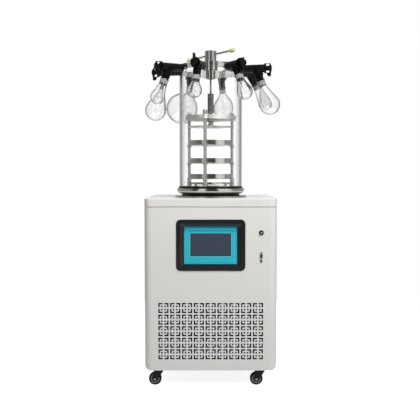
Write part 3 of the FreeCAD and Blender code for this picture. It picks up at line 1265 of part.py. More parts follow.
def control_box():
    """Electronics housing, open towards the right side that its flanges are screwed to."""
    wall = half_width - SHEET - SEAT_GAP
    y0 = back_y - BOX_BACK - BOX_DEPTH
    case = box(wall - BOX_WIDTH, wall, y0, y0 + BOX_DEPTH, BOX_Z, BOX_Z + BOX_HEIGHT)
    flange = box(wall - BOX_WALL, wall, y0 - EAR_WIDTH, y0 + BOX_DEPTH + EAR_WIDTH,
                 BOX_Z + EAR_TRIM, BOX_Z + BOX_HEIGHT - EAR_TRIM)
    space = box(wall - BOX_WIDTH + BOX_WALL, wall + OVER, y0 + BOX_EDGE, y0 + BOX_DEPTH - BOX_EDGE,
                BOX_Z + BOX_EDGE, BOX_Z + BOX_HEIGHT - BOX_EDGE)
    return case.fuse(flange).cut(space)


def all_parts():
    parts = {
        "base_tray": base_tray(),
        "front_panel": front_panel(),
        "left_panel": side_panel(-1),
        "right_panel": side_panel(1),
        "rear_panel": rear_panel(),
        "top_cover": top_cover(),
        "caster_plates": caster_plates(),
        "screen_bezel": screen_bezel(),
        "touch_panel": touch_panel(),
        "display_glass": display_glass(),
        "selector_switch": selector_switch(),
        "selector_knob": selector_knob(),
        "drain_cock": drain_cock(),
        "drain_lever": drain_lever(),
        "power_switch": power_switch(),
        "power_rocker": power_rocker(),
        "power_sockets": power_sockets(),
        "vacuum_port": vacuum_port(),
        "cold_trap": cold_trap(),
        "trap_jacket": trap_jacket(),
        "condenser": condenser(),
        "fan_mount": fan_mount(),
        "fan_blades": fan_blades(),
        "compressor": compressor(),
        "control_box": control_box(),
        "chamber_gaskets": chamber_gaskets(),
        "seal_ring": seal_ring(),
        "chamber_tube": chamber_tube(),
        "manifold_lid": manifold_lid(),
        "press_gland": press_gland(),
        "press_cap": press_cap(),
        "handle_bar": handle_bar(),
        "handle_tips": handle_tips(),
        "lead_screw": lead_screw(),
        "press_ram": press_ram(),
        "press_plate": press_plate(),
        "shelf_rack": shelf_rack(),
        "baffle_disc": baffle_disc(),
        "valve_bodies": valve_bodies(),
    }
    for name, low in SHELF_HEIGHTS.items():
        parts[name] = shelf(low)
    for port in range(PORTS):
        parts[f"valve_knob_{port + 1}"] = valve_knob(port)
    for name, group in FLASKS.items():
        glasses = [flask(port, *size) for port, size in group.items()]
        parts[name] = Part.makeCompound(glasses)
    for name, (x, y) in caster_places().items():
        parts[f"fork_{name}"] = caster_fork(x, y)
        parts[f"wheel_{name}"] = caster_wheel(x, y)
    return parts


os.makedirs("parts", exist_ok=True)
for node, shape in all_parts().items():
    shape.exportStep(f"parts/{node}.step")
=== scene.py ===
# %% [markdown]
# # A laboratory freeze dryer
# The machine is a powder-coated cabinet on casters with a pierced grille and a touch screen. A clear
# chamber with polished shelves stands on it, and eight black rubber valves with pear-shaped flasks hang
# round its lid. Every rigid part comes finished in shape from the CAD model. This script gives each part
# the surface it really has, adds the fine pieces that are too small for the CAD model, and lights it.

# %% Load the CAD model
import math

import bmesh
import bpy
from mathutils import Matrix, Vector


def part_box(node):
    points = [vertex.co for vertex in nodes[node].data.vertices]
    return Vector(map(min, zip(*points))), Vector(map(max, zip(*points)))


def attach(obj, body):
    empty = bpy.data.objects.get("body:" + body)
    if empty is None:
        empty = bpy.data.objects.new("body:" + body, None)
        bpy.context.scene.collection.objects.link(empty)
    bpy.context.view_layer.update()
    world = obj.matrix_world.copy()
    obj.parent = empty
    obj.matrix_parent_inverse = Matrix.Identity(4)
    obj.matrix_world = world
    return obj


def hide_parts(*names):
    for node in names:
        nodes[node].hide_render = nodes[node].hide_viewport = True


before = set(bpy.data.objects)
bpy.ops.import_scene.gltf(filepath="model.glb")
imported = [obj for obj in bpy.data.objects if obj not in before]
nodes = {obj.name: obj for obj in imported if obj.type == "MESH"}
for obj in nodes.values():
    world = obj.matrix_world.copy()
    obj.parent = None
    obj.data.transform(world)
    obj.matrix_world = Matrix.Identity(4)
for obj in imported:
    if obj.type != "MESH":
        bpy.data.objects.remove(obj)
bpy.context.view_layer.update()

# %% [markdown]
# ## Colours and nodes
# Screens and paint cards give colours as sRGB hex values, but a renderer adds light up in linear values,
# so one function turns the first into the second. A second function adds one shader node, sets what it
# needs and links what feeds it, so that each material reads like a recipe.

# %% Helpers for colours and shader nodes
MM = 0.001


def linear(hex_code):
    """The linear colour of an sRGB hex value such as DCDBD8."""
    shares = [int(hex_code[start:start + 2], 16) / 255 for start in (0, 2, 4)]
    return tuple(share / 12.92 if share <= 0.04045 else ((share + 0.055) / 1.055) ** 2.4
                 for share in shares) + (1.0,)


def add_node(tree, kind, inputs=None, **settings):
    """Adds a node. settings are its own fields, inputs are values or the outputs that feed it."""
    node = tree.nodes.new(kind)
    for field, value in settings.items():
        setattr(node, field, value)
    for key, value in (inputs or {}).items():
        if isinstance(value, bpy.types.NodeSocket):
            tree.links.new(value, node.inputs[key])
        else:
            node.inputs[key].default_value = value
    return node


def start_material(name):
    """An empty material, its node tree and the object coordinates that every pattern is laid out in."""
    material = bpy.data.materials.new(name)
    material.use_nodes = True
    tree = material.node_tree
    tree.nodes.clear()
    place = add_node(tree, "ShaderNodeTexCoord").outputs["Object"]
    return material, tree, place


def finish_material(material, tree, shader):
    add_node(tree, "ShaderNodeOutputMaterial", {"Surface": shader.outputs[0]})
    return material


def per_metre(size_mm):
    """The texture scale that makes one pattern cell about this many millimetres wide."""
    return 1000.0 / size_mm


print("warm white paint in linear values:", [round(value, 3) for value in linear("DCDBD8")[:3]])

# %% [markdown]
# ## Powder coat
# The cabinet is sheet steel with baked powder paint. Up close such a coat has a shallow orange peel about
# a millimetre across, and over the length of a panel its tone drifts a little. A noise texture makes the
# peel as bump, and a second, much larger one shifts the colour by a few percent. The real peel is too
# fine to show from across a room, so it is drawn at one and a half millimetres. An image of paint could
# be wrapped round the panels instead, but noise needs no unwrapping and leaves no seams.
#
# Only the outside gets the white coat. The inside and the cut edges of the holes are near black: dark
# primer that is also painted shade for the unlit inside of the cabinet, which is what makes the grille
# read as dark. Panels are single solids, so the shader decides: a face is dark if it looks towards the
# middle of the cabinet, or if it lies deeper than the skin where holes are.

# %% Warm white powder coat on steel
SKIN = 0.4 * MM              # the coat's reach into a hole
HOLES_HALF_WIDTH = 0.215     # holes in the front and rear panel lie within this and below the next
HOLES_TOP = 0.66
MIDDLE_HEIGHT = 0.39         # about half way up the cabinet
TURNED_INWARDS = -0.25       # a face whose normal leans this far towards the middle is inside
PEEL_MM = 1.5                # drawn coarser than the real one
DRIFT_MM = 260               # about half a panel
cabinet_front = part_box("front_panel")[0].y
cabinet_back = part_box("rear_panel")[1].y
cabinet_middle = (0.0, (cabinet_front + cabinet_back) / 2, MIDDLE_HEIGHT)
hole_zone = (HOLES_HALF_WIDTH, (cabinet_back - cabinet_front) / 2 - SKIN, HOLES_TOP)


def primer_and_shade_side(tree, place):
    """1 where primer and painted shade go: inward faces and the cut edges of holes. 0 on the coated outside.
    """
    normal = add_node(tree, "ShaderNodeNewGeometry").outputs["Normal"]
    offset = add_node(tree, "ShaderNodeVectorMath", {0: place, 1: cabinet_middle}, operation="SUBTRACT")
    outward = add_node(tree, "ShaderNodeVectorMath", {0: offset.outputs[0]}, operation="NORMALIZE")
    facing = add_node(tree, "ShaderNodeVectorMath", {0: normal, 1: outward.outputs[0]},
                      operation="DOT_PRODUCT")
    inwards = add_node(tree, "ShaderNodeMath", {0: facing.outputs["Value"], 1: TURNED_INWARDS},
                       operation="LESS_THAN")
    apart = add_node(tree, "ShaderNodeVectorMath", {0: offset.outputs[0]}, operation="ABSOLUTE")
    across, along, _ = add_node(tree, "ShaderNodeSeparateXYZ", {0: apart.outputs[0]}).outputs
    height = add_node(tree, "ShaderNodeSeparateXYZ", {0: place}).outputs[2]
    in_hole = 1.0
    for measure, limit in zip((across, along, height), hole_zone):
        within = add_node(tree, "ShaderNodeMath", {0: measure, 1: limit}, operation="LESS_THAN")
        in_hole = add_node(tree, "ShaderNodeMath", {0: within.outputs[0], 1: in_hole},
                           operation="MULTIPLY").outputs[0]
    return add_node(tree, "ShaderNodeMath", {0: inwards.outputs[0], 1: in_hole},
                    operation="MAXIMUM").outputs[0]


def powder_coat(name, light, dark, inside=None):
    """Baked powder paint: a tone that drifts between two colours, and a fine orange peel."""
    material, tree, place = start_material(name)
    drift = add_node(tree, "ShaderNodeTexNoise", {"Vector": place, "Scale": per_metre(DRIFT_MM),
                                                  "Detail": 2.0})
    colour = add_node(tree, "ShaderNodeMix", {0: drift.outputs[0], 6: linear(light), 7: linear(dark)},
                      data_type="RGBA")
    if inside:
        colour = add_node(tree, "ShaderNodeMix", {0: primer_and_shade_side(tree, place), 6: colour.outputs[2],
                                                  7: linear(inside)}, data_type="RGBA")
    peel = add_node(tree, "ShaderNodeTexNoise", {"Vector": place, "Scale": per_metre(PEEL_MM),
                                                 "Detail": 1.0})
    bump = add_node(tree, "ShaderNodeBump", {"Height": peel.outputs[0], "Strength": 0.12,
                                             "Distance": 0.05 * MM})
    shader = add_node(tree, "ShaderNodeBsdfPrincipled", {
        "Base Color": colour.outputs[2], "Roughness": 0.42, "IOR": 1.5, "Normal": bump.outputs[0]})
    return finish_material(material, tree, shader)


# Semi-gloss white with a warm cast on the cabinet, over black primer that is also painted shade inside.
cabinet_paint = powder_coat("powder_coat_warm_white", "DCDBD8", "D6D5D2", inside="0C0C0C")
# Plain grey on the control box, which nobody sees in use.
machine_grey = powder_coat("powder_coat_machine_grey", "8E9193", "85888A")
print("painted finishes:", cabinet_paint.name, machine_grey.name)

# %% [markdown]
# ## Bare metals
# The rack, the shelves, the seal ring and the press are turned or pressed stainless steel and polished.
# Turning leaves rings round the axis that are far finer than a hair. They stretch each highlight across
# the rings. Noise that is squeezed in height and stretched along the surface draws them, at half a
# millimetre so that they can be seen at all. The shader's own anisotropy stretches a highlight too, but
# quite evenly, while real rings break it up. A metal keeps its default IOR: its colour does the work, and
# its roughness tells polished from drawn.

# %% Polished, drawn and satin metals
RING_MM = 0.5
RING_STRETCH = (0.02, 0.02, 1.0)     # fifty times as long round the part as it is high


def bare_metal(name, light, dark, rough, strength=0.06):
    """Metal with fine turning rings, which change its tone and gloss a little."""
    material, tree, place = start_material(name)
    squeezed = add_node(tree, "ShaderNodeMapping", {"Vector": place, "Scale": RING_STRETCH})
    lines = add_node(tree, "ShaderNodeTexNoise", {"Vector": squeezed.outputs[0],
                                                  "Scale": per_metre(RING_MM), "Detail": 3.0})
    tone = add_node(tree, "ShaderNodeMix", {0: lines.outputs[0], 6: linear(light), 7: linear(dark)},
                    data_type="RGBA")
    haze = add_node(tree, "ShaderNodeMapRange", {"Value": lines.outputs[0], "To Min": rough * 0.8,
                                                 "To Max": rough * 1.25})
    bump = add_node(tree, "ShaderNodeBump", {"Height": lines.outputs[0], "Strength": strength,
                                             "Distance": 0.02 * MM})
    shader = add_node(tree, "ShaderNodeBsdfPrincipled", {
        "Base Color": tone.outputs[2], "Metallic": 1.0, "Roughness": haze.outputs[0],
        "Normal": bump.outputs[0]})
    return finish_material(material, tree, shader)


# Polished stainless on the rack, the shelves and the seal ring mirrors the bright and dark of the room.
polished_steel = bare_metal("stainless_polished", "D6D3CE", "BFBCB7", rough=0.13)
# Drawn bar for the ram, the screw and the axle caps keeps the mill's grey skin, so it is duller.
drawn_steel = bare_metal("stainless_drawn_dull", "94928E", "7D7B77", rough=0.22, strength=0.10)
# The brushed press plate spreads what it mirrors, so it looks evenly bright.
bright_steel = bare_metal("stainless_brushed_bright", "F0EEEA", "E2E0DC", rough=0.40, strength=0.05)
# Satin stainless on the cap, the cross bar, the trap and the screws has deeper rings and soft highlights.
satin_steel = bare_metal("stainless_satin", "C4C2BE", "AFADA9", rough=0.30, strength=0.12)
# Nickel over brass has a faint yellow in it, on the drain cock and the inlet's pins.
plated_brass = bare_metal("brass_nickel_plated", "CFC9BF", "BDB7AC", rough=0.20)
# The condenser is dipped in black lacquer against damp air. Its near black is also painted shade, so
# little shows behind the grille.
fins_black_and_shade = bare_metal("aluminium_fins_black_and_painted_shade", "0D0D0D", "080808", rough=0.6)
print("metals:", [metal.name for metal in (polished_steel, drawn_steel, bright_steel, satin_steel,
                                           plated_brass, fins_black_and_shade)])

# %% [markdown]
# ## Moulded plastics
# The screen's frame, the switches and the grips come out of a mould. The mould is spark-eroded, which
# leaves a fine matt grain, or polished, which leaves none. The grain could be cut into the mesh, but bump
# costs no triangles, and such a fine grain does not show in outline. It is drawn at about a millimetre,
# several times its real size, so that it shows.

# %% Moulded plastics
HANDLING_MM = 45     # size of the patches that handling leaves a little darker or shinier


def moulded(name, light, dark, rough, grain_mm, strength, gloss=0.5):
    """Moulded plastic or rubber. gloss scales what its skin mirrors, and 0.5 is that of bare plastic."""
    material, tree, place = start_material(name)
    grain = add_node(tree, "ShaderNodeTexNoise", {"Vector": place, "Scale": per_metre(grain_mm),
                                                  "Detail": 2.0})
    drift = add_node(tree, "ShaderNodeTexNoise", {"Vector": place, "Scale": per_metre(HANDLING_MM),
                                                  "Detail": 1.0})
    colour = add_node(tree, "ShaderNodeMix", {0: drift.outputs[0], 6: linear(light), 7: linear(dark)},
                      data_type="RGBA")
    haze = add_node(tree, "ShaderNodeMapRange", {"Value": drift.outputs[0], "To Min": rough * 0.85,
                                                 "To Max": rough * 1.2})
    bump = add_node(tree, "ShaderNodeBump", {"Height": grain.outputs[0], "Strength": strength,
                                             "Distance": 0.05 * MM})
    shader = add_node(tree, "ShaderNodeBsdfPrincipled", {
        "Base Color": colour.outputs[2], "Roughness": haze.outputs[0], "IOR": 1.5,
        "Specular IOR Level": gloss, "Normal": bump.outputs[0]})
    return finish_material(material, tree, shader)


# The screen's frame is ABS from a spark-eroded mould, black and finely matt.
frame_plastic = moulded("abs_black_spark_grain", "161718", "0F1011",
                        rough=0.38, grain_mm=0.9, strength=0.15, gloss=0.35)
# Switches and fan blades are black nylon, a shade lighter. The webs of the wheels are drawn in it too,
# dark inside the grey rims.
black_nylon = moulded("nylon_black_moulded", "1B1B1C", "131314",
                      rough=0.42, grain_mm=0.8, strength=0.12, gloss=0.35)
# The rim of each wheel's core is grey nylon.
grey_nylon = moulded("nylon_grey_moulded", "8F9194", "7F8184", rough=0.4, grain_mm=0.9, strength=0.1)
# The selector's knob is charcoal ABS from a polished mould, so it is smooth and shiny.
dark_knob = moulded("abs_charcoal_polished", "3A3B3D", "303133", rough=0.25, grain_mm=1.2, strength=0.04)
# Urea resin takes a clear pale colour, here the cream green of the grips.
grip_plastic = moulded("urea_cream_green", "C6C79A", "B6B888", rough=0.28, grain_mm=1.5, strength=0.05)
print("plastics:", [plastic.name for plastic in (frame_plastic, black_nylon, grey_nylon, dark_knob,
                                                 grip_plastic)])

# %% [markdown]
# ## Rubber, foam and black enamel
# The valves, gaskets and tyres are moulded rubber. They look softer than plastic, because their skin is
# slightly rough and collects a film of fine dust. Foam is rubber full of pores, and baked enamel is a
# smooth dark skin on steel. A shader of its own could be built for each, but all are dark and differ in
# grain, roughness and sheen alone, so the recipe for moulded plastic serves them too.

# %% Rubber, foam and enamel
# Nitrile gaskets are matt and almost black.
gasket_rubber = moulded("nitrile_rubber_black", "121212", "0B0B0B",
                        rough=0.48, grain_mm=0.7, strength=0.2, gloss=0.3)
# The valves are smooth silicone with only a faint sheen.
valve_rubber = moulded("silicone_rubber_black", "0A0A0B", "060607",
                       rough=0.36, grain_mm=1.0, strength=0.08, gloss=0.14)
# Tyres are rougher than the valves from rolling on floors.
tyre_rubber = moulded("tyre_rubber_black", "0B0B0B", "070707",
                      rough=0.5, grain_mm=0.7, strength=0.25, gloss=0.15)
# The trap's jacket is foamed rubber. Its pores make it dull, and are drawn two millimetres apart.
foam_jacket = moulded("foam_black_closed_cell", "1C1C1C", "121212",
                      rough=0.85, grain_mm=2.2, strength=0.6, gloss=0.2)
# Forks, tray and machinery are stove enamelled black, a smooth coat with faint ripples. On the base
# tray inside the cabinet the black is also painted shade.
black_enamel_and_shade = moulded("enamel_black_baked", "0A0A0A", "060606",
                       rough=0.40, grain_mm=2.0, strength=0.05, gloss=0.14)
print("rubbers and enamel:", [finish.name for finish in (gasket_rubber, valve_rubber, tyre_rubber,
                                                         foam_jacket, black_enamel_and_shade)])

# %% [markdown]
# ## Turquoise face and display
# The touch unit has a glossy turquoise face in a hard-coated film. Its colour is paler along the left
# border, and darker towards the top and the right, which is painted shadow of the frame's overhang. An
# image could carry these borders, but a few ramps along the machine's own X and Z draw them from sizes in
# millimetres. The display in its window is a glass that is off: dark with a blue-grey cast, because the
# liquid-crystal cell still returns some light.

# %% Glossy turquoise film and dark display glass
X_AXIS, Z_AXIS = 0, 2


def glossy_film(name, middle, edge, rough, spread_mm, borders=()):
    """Printed film under a hard coat. Each border is (axis, start, end, colour), in millimetres.
    A darker border tints the film as painted shadow.
    """
    material, tree, place = start_material(name)
    cloud = add_node(tree, "ShaderNodeTexNoise", {"Vector": place, "Scale": per_metre(spread_mm),
                                                  "Detail": 1.0})
    colour = add_node(tree, "ShaderNodeMix", {0: cloud.outputs[0], 6: linear(middle), 7: linear(edge)},
                      data_type="RGBA")
    axes = add_node(tree, "ShaderNodeSeparateXYZ", {0: place}).outputs
    for axis, start_mm, end_mm, tint in borders:
        share = add_node(tree, "ShaderNodeMapRange", {"Value": axes[axis], "From Min": start_mm * MM,
                                                      "From Max": end_mm * MM})
        colour = add_node(tree, "ShaderNodeMix", {0: share.outputs[0], 6: colour.outputs[2],
                                                  7: linear(tint)}, data_type="RGBA")
    shader = add_node(tree, "ShaderNodeBsdfPrincipled", {
        "Base Color": colour.outputs[2], "Roughness": rough, "IOR": 1.5,
        "Coat Weight": 0.6, "Coat Roughness": 0.08})
    return finish_material(material, tree, shader)


# Polyester film printed turquoise from behind, which looks deep and even under its coat. The darker
# borders at the top and the right are painted shadow of the frame's overhang, and the left border is paler.
turquoise_film = glossy_film(
    "polyester_film_turquoise", "14AFC4", "20B7C9", rough=0.30, spread_mm=160,
    borders=[(X_AXIS, -92, -101, "40B6CE"), (X_AXIS, 93, 101, "0B8FA3"),
             (Z_AXIS, 588, 613, "07788C"), (Z_AXIS, 606, 619, "045468")])
# The same film in a paler print, for the line round the display's window. On the bead round the raised
# middle the paler colour is a painted highlight of the step's edge.
light_film = glossy_film("polyester_film_pale_edge", "74CEDC", "63C6D6", rough=0.35, spread_mm=120)
# Polished cover glass over the dark display mirrors more sharply than the film.
display_cover = glossy_film("display_glass_dark", "39424F", "414B58", rough=0.12, spread_mm=90)
print("touch screen finishes:", turquoise_film.name, light_film.name, display_cover.name)

# %% [markdown]
# ## Acrylic and glass
# The chamber wall and lid are cast acrylic, eight millimetres and more thick, and the flasks are thin
# borosilicate glass. Both are clear, so nearly all they show is what lies behind them, bent at their
# edges. The wall is solid in the model, so the light bends where it really does. Acrylic has an IOR of
# 1.49 and laboratory glass 1.47. Fine handling marks are drawn as a very light haze in the roughness.
# Where the eye skims a wall it looks through much more of it, so the colour darkens towards the outline.
# The darkening is partly that longer path and partly painted shade, standing in for dark surroundings
# that a real edge bends into view. Absorption in the volume would do this too, but it takes longer to
# render and is harder to steer. These pieces cast no shadow of their own, because lamps shine through them.

# %% Clear acrylic and borosilicate glass
MARK_HAZE = 0.01     # roughness in the middle of a handling mark


def clear_body(name, middle, edge, ior, edge_from, mark_mm):
    """Clear material. Its colour runs from middle to edge as the eye skims it, from edge_from on."""
    material, tree, place = start_material(name)
    marks = add_node(tree, "ShaderNodeTexNoise", {"Vector": place, "Scale": per_metre(mark_mm),
                                                  "Detail": 4.0})
    haze = add_node(tree, "ShaderNodeMapRange", {"Value": marks.outputs[0], "From Min": 0.55,
                                                 "From Max": 0.8, "To Min": 0.0, "To Max": MARK_HAZE})
    slant = add_node(tree, "ShaderNodeLayerWeight", {"Blend": 0.5}).outputs["Facing"]
    depth = add_node(tree, "ShaderNodeMapRange", {"Value": slant, "From Min": edge_from, "From Max": 1.0})
    colour = add_node(tree, "ShaderNodeMix", {0: depth.outputs[0], 6: linear(middle), 7: linear(edge)},
                      data_type="RGBA")
    shader = add_node(tree, "ShaderNodeBsdfPrincipled", {
        "Base Color": colour.outputs[2], "Transmission Weight": 1.0, "IOR": ior,
        "Roughness": haze.outputs[0]})
    return finish_material(material, tree, shader)


# Cast acrylic is clearer than window glass and keeps only a soft grey at its outline.
clear_acrylic = clear_body("acrylic_cast_clear", "FDFDFD", "A8AAAA", ior=1.49, edge_from=0.40, mark_mm=60)
# Blown glass shows a thin dark outline, because its wall is thin and turns away quickly. Its dark
# grey is partly painted shade.
flask_glass = clear_body("borosilicate_blown_clear", "F2F2F2", "505252", ior=1.47, edge_from=0.45, mark_mm=25)
print("clear finishes:", clear_acrylic.name, flask_glass.name)

# %% [markdown]
# ## Dressing the CAD parts
# Each CAD part keeps its shape and takes the finish that its real counterpart has. Parts could be dressed
# one by one in the cells above, but one table from finish to part names shows the whole machine at once.

# %% Give every CAD part its finish
def parts_named(start):
    """All CAD parts whose name starts this way."""
    return [name for name in nodes if name.startswith(start)]


finishes = {
    cabinet_paint: ["front_panel", "left_panel", "right_panel", "rear_panel", "top_cover"],
    machine_grey: ["control_box"],
    # The base tray's black also stands in for the shade inside the cabinet.
    black_enamel_and_shade: ["caster_plates", "fan_mount", "compressor", "base_tray"] + parts_named("fork_"),
    fins_black_and_shade: ["condenser"],
    frame_plastic: ["screen_bezel"],
    turquoise_film: ["touch_panel"],
    display_cover: ["display_glass"],
    black_nylon: ["selector_switch", "power_switch", "power_rocker", "power_sockets", "fan_blades"],
    dark_knob: ["selector_knob"],
    plated_brass: ["drain_cock", "drain_lever"],
    satin_steel: ["vacuum_port", "press_cap", "cold_trap", "handle_bar"],
    drawn_steel: ["press_ram", "lead_screw"],
    bright_steel: ["press_plate"],
    polished_steel: ["seal_ring", "press_gland", "shelf_rack", "baffle_disc", "shelf_bottom",
                     "shelf_middle", "shelf_top"],
    gasket_rubber: ["chamber_gaskets"],
    valve_rubber: ["valve_bodies"] + parts_named("valve_knob_"),
    tyre_rubber: parts_named("wheel_"),
    grip_plastic: ["handle_tips"],
    foam_jacket: ["trap_jacket"],
    clear_acrylic: ["chamber_tube", "manifold_lid"],
    flask_glass: ["small_flasks", "large_flasks"],
}
for finish, names in finishes.items():
    for name in names:
        part = nodes[name]
        part.data.materials.clear()
        part.data.materials.append(finish)
        part.visible_shadow = finish not in (clear_acrylic, flask_glass)
undressed = sorted(set(nodes) - {name for names in finishes.values() for name in names})
print("parts still undressed:", undressed)

# %% [markdown]
# ## Smooth shading
# A CAD mesh is made of flat facets. Shading them smooth hides the facets on turned and rounded faces, but
# a real edge has to stay crisp. Marking every edge sharper than thirty degrees as sharp does both. A
# bevel would also soften edges, but the CAD parts already have their real fillets.

# %% Smooth the round faces and keep the crisp edges
CRISP_FROM = math.radians(30.0)


def smooth_but_crisp(mesh):
    mesh.shade_smooth()
    mesh.set_sharp_from_angle(angle=CRISP_FROM)


for part in nodes.values():
    smooth_but_crisp(part.data)
print("smoothed", len(nodes), "parts")

# %% [markdown]
# ## Making small pieces
# Small machine pieces are mostly turned, cut from a flat outline, or bent into a frame. Three helpers
# make these forms as closed solids in millimetres. All three stack rings of points and stretch a skin
# over them. Blender's own lathe and extrude would do as well, but rings show how a mesh is built, and
# the solid is closed from the start.

# %% Helpers for turned, flat and framed forms
def skin(rings, loop):
    """Closed skin over rings of points in millimetres. loop joins the last ring to the first."""
    form = bmesh.new()
    rows = [[form.verts.new(Vector(point) * MM) for point in ring] for ring in rings]
    pairs = list(zip(rows, rows[1:]))
    if loop:
        pairs.append((rows[-1], rows[0]))
    for low, high in pairs:
        steps = max(len(low), len(high))
        for here in range(steps):
            ahead = (here + 1) % steps
            corners = [low[here % len(low)], low[ahead % len(low)],
                       high[ahead % len(high)], high[here % len(high)]]
            form.faces.new(list(dict.fromkeys(corners)))     # a ring of one point gives triangles
    if not loop:
        for end in (rows[0], rows[-1]):
            if len(end) > 2:
                form.faces.new(end)
    bmesh.ops.recalc_face_normals(form, faces=form.faces)
    return form


TURNED_STEPS = 48


def turned(outline, steps=TURNED_STEPS):
    """Solid of revolution round Z from (radius, height) points. An outline off the axis is a ring."""
    rings = []
    for radius, height in outline:
        if radius == 0:
            rings.append([(0, 0, height)])
            continue
        turns = [2 * math.pi * step / steps for step in range(steps)]
        rings.append([(radius * math.cos(turn), radius * math.sin(turn), height) for turn in turns])
    return skin(rings, loop=outline[0][0] > 0)


def slab(outline, low, high):
    """A flat outline of (x, y) points, as thick as from low to high along Z."""
    return skin([[(x, y, z) for x, y in outline] for z in (low, high)], loop=False)


CORNERS = ((1, 1, 0), (-1, 1, 90), (-1, -1, 180), (1, -1, 270))     # sides in X and Z, first angle
CORNER_STEPS = 6


def framed(width, height, corner, section):
    """A rounded rectangular frame in X and Z. section holds (inset, depth) points across its bar."""
    rings = []
    for inset, depth in section:
        ring = []
        for side_x, side_z, start in CORNERS:
            for step in range(CORNER_STEPS + 1):
                turn = math.radians(start + 90.0 * step / CORNER_STEPS)
                ring.append((side_x * (width / 2 - corner) + (corner - inset) * math.cos(turn), depth,
                             side_z * (height / 2 - corner) + (corner - inset) * math.sin(turn)))
        rings.append(ring)
    return skin(rings, loop=True)


sample = turned([(0, 0), (10, 0), (10, 20), (0, 20)])
print("a turned rod has", len(sample.verts), "points")
print("is it closed?", all(edge.is_manifold for edge in sample.edges))
sample.free()

# %% [markdown]
# ## Placing a small piece
# A piece may hold several forms, each with its own finish and place, as a real wheel holds tyre and core.
# Each form could be a piece of its own, but one piece for each real part keeps the list short. So forms
# are gathered into one mesh, and it rides on the body that carries it. Where it shows a CAD part with
# more detail, that CAD part is hidden.

# %% Helpers that gather and place forms
def add_piece(name, layers, body, replaced=None):
    """One piece from (finish, form, place) layers. It rides on a body and may stand for a CAD part."""
    whole = bmesh.new()
    mesh = bpy.data.meshes.new(name)
    for finish, form, place in layers:
        if finish.name not in mesh.materials:
            mesh.materials.append(finish)
        bmesh.ops.transform(form, matrix=place, verts=form.verts)
        for face in form.faces:
            face.material_index = mesh.materials.find(finish.name)
        layer = bpy.data.meshes.new(name)
        form.to_mesh(layer)
        form.free()
        whole.from_mesh(layer)
        bpy.data.meshes.remove(layer)
    whole.to_mesh(mesh)
    whole.free()
    smooth_but_crisp(mesh)
    piece = bpy.data.objects.new(name, mesh)
    bpy.context.scene.collection.objects.link(piece)
    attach(piece, body)
    if replaced:
        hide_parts(replaced)
    print("added", name, "with", len(mesh.polygons), "faces on", body)


def middle_of(name):
    """The middle of a CAD part's box, in metres."""
    low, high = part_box(name)
    return (low + high) / 2


def aimed(point, direction):
    """Places a form so that its Z axis starts at a point in metres and looks along a direction."""
    return Matrix.Translation(point) @ Vector(direction).to_track_quat("Z", "Y").to_matrix().to_4x4()


print("the chamber's middle:", [round(value, 3) for value in middle_of("chamber_tube")])

# %% [markdown]
# ## Caster wheels
# A furniture caster has a hard core with a soft tyre moulded round it. The tyre is black with rounded
# shoulders and a fine parting groove, the core is grey at its rim and dark at the web, and a domed steel
# cap closes each end of the axle. One outline in one colour would be quicker, but the three materials
# meet at steps that catch light, so each is turned by itself. The whole fills the same box as the CAD
# wheel, which stays behind as the collision shape.

# %% Tyres, cores and axle caps
# Outlines as (radius, distance along the axle), both in millimetres.
TYRE = [(17.0, -9.4), (17.6, -10.0), (21.5, -10.0), (23.4, -9.3), (24.5, -7.2), (24.5, -1.2), (24.1, -0.8),
        (24.1, 0.8), (24.5, 1.2), (24.5, 7.2), (23.4, 9.3), (21.5, 10.0), (17.6, 10.0), (17.0, 9.4)]
CORE_RIM = [(13.6, -8.4), (14.3, -9.6), (17.0, -9.6), (17.0, 9.6), (14.3, 9.6), (13.6, 8.4)]
WEB = [(4.1, -10.6), (7.5, -10.6), (8.4, -6.5), (13.6, -6.5), (13.6, 6.5), (8.4, 6.5), (7.5, 10.6),
       (4.1, 10.6)]
AXLE_CAP = [(0, 0), (4.2, 0), (4.0, 0.6), (2.9, 1.2), (0, 1.5)]
AXLE_END = 16.2 * MM      # caps from the middle of the wheel
SMALL_STEPS = 24          # enough for caps and screws
for spot in ("front_left", "front_right", "rear_left", "rear_right"):
    hub = middle_of("wheel_" + spot)
    axle = aimed(hub, (0, 1, 0))
    add_piece("caster_wheel_" + spot, [(tyre_rubber, turned(TYRE), axle),
                                       (grey_nylon, turned(CORE_RIM), axle),
                                       (black_nylon, turned(WEB), axle)],
              "wheel_" + spot, replaced="wheel_" + spot)
    caps = []
    for side in (-1, 1):
        end = aimed(hub + Vector((0, side * AXLE_END, 0)), (0, side, 0))
        caps.append((drawn_steel, turned(AXLE_CAP, SMALL_STEPS), end))
    add_piece("axle_caps_" + spot, caps, "fork_" + spot)

# %% [markdown]
# ## Press screw
# Eight turns of the cross bar lower the press plate by forty millimetres, so the screw has a lead of
# five. Its thread climbs to the right: the radius at any point depends only on how far that point is
# along the helix. A groove could be cut out of a rod by a swept profile, but a stack of rings whose radius
# follows that rule is closed by construction and needs no cutting.

# %% Threaded screw
SCREW_LEAD = 5.0          # millimetres a turn
ROWS_A_TURN = 10
SCREW_STEPS = 20
THREAD_ROOT, THREAD_DEPTH = 3.35, 0.6
RISE_FROM, FALL_FROM, FLANK = 0.28, 0.72, 0.14     # shares of one lead


def thread_radius(turns):
    """Trapezoid thread between root and crest, as a function of the turns climbed."""
    part = turns % 1.0
    rise = min(max((part - RISE_FROM) / FLANK, 0.0), 1.0)
    fall = min(max((part - FALL_FROM) / FLANK, 0.0), 1.0)
    return THREAD_ROOT + THREAD_DEPTH * (rise - fall)


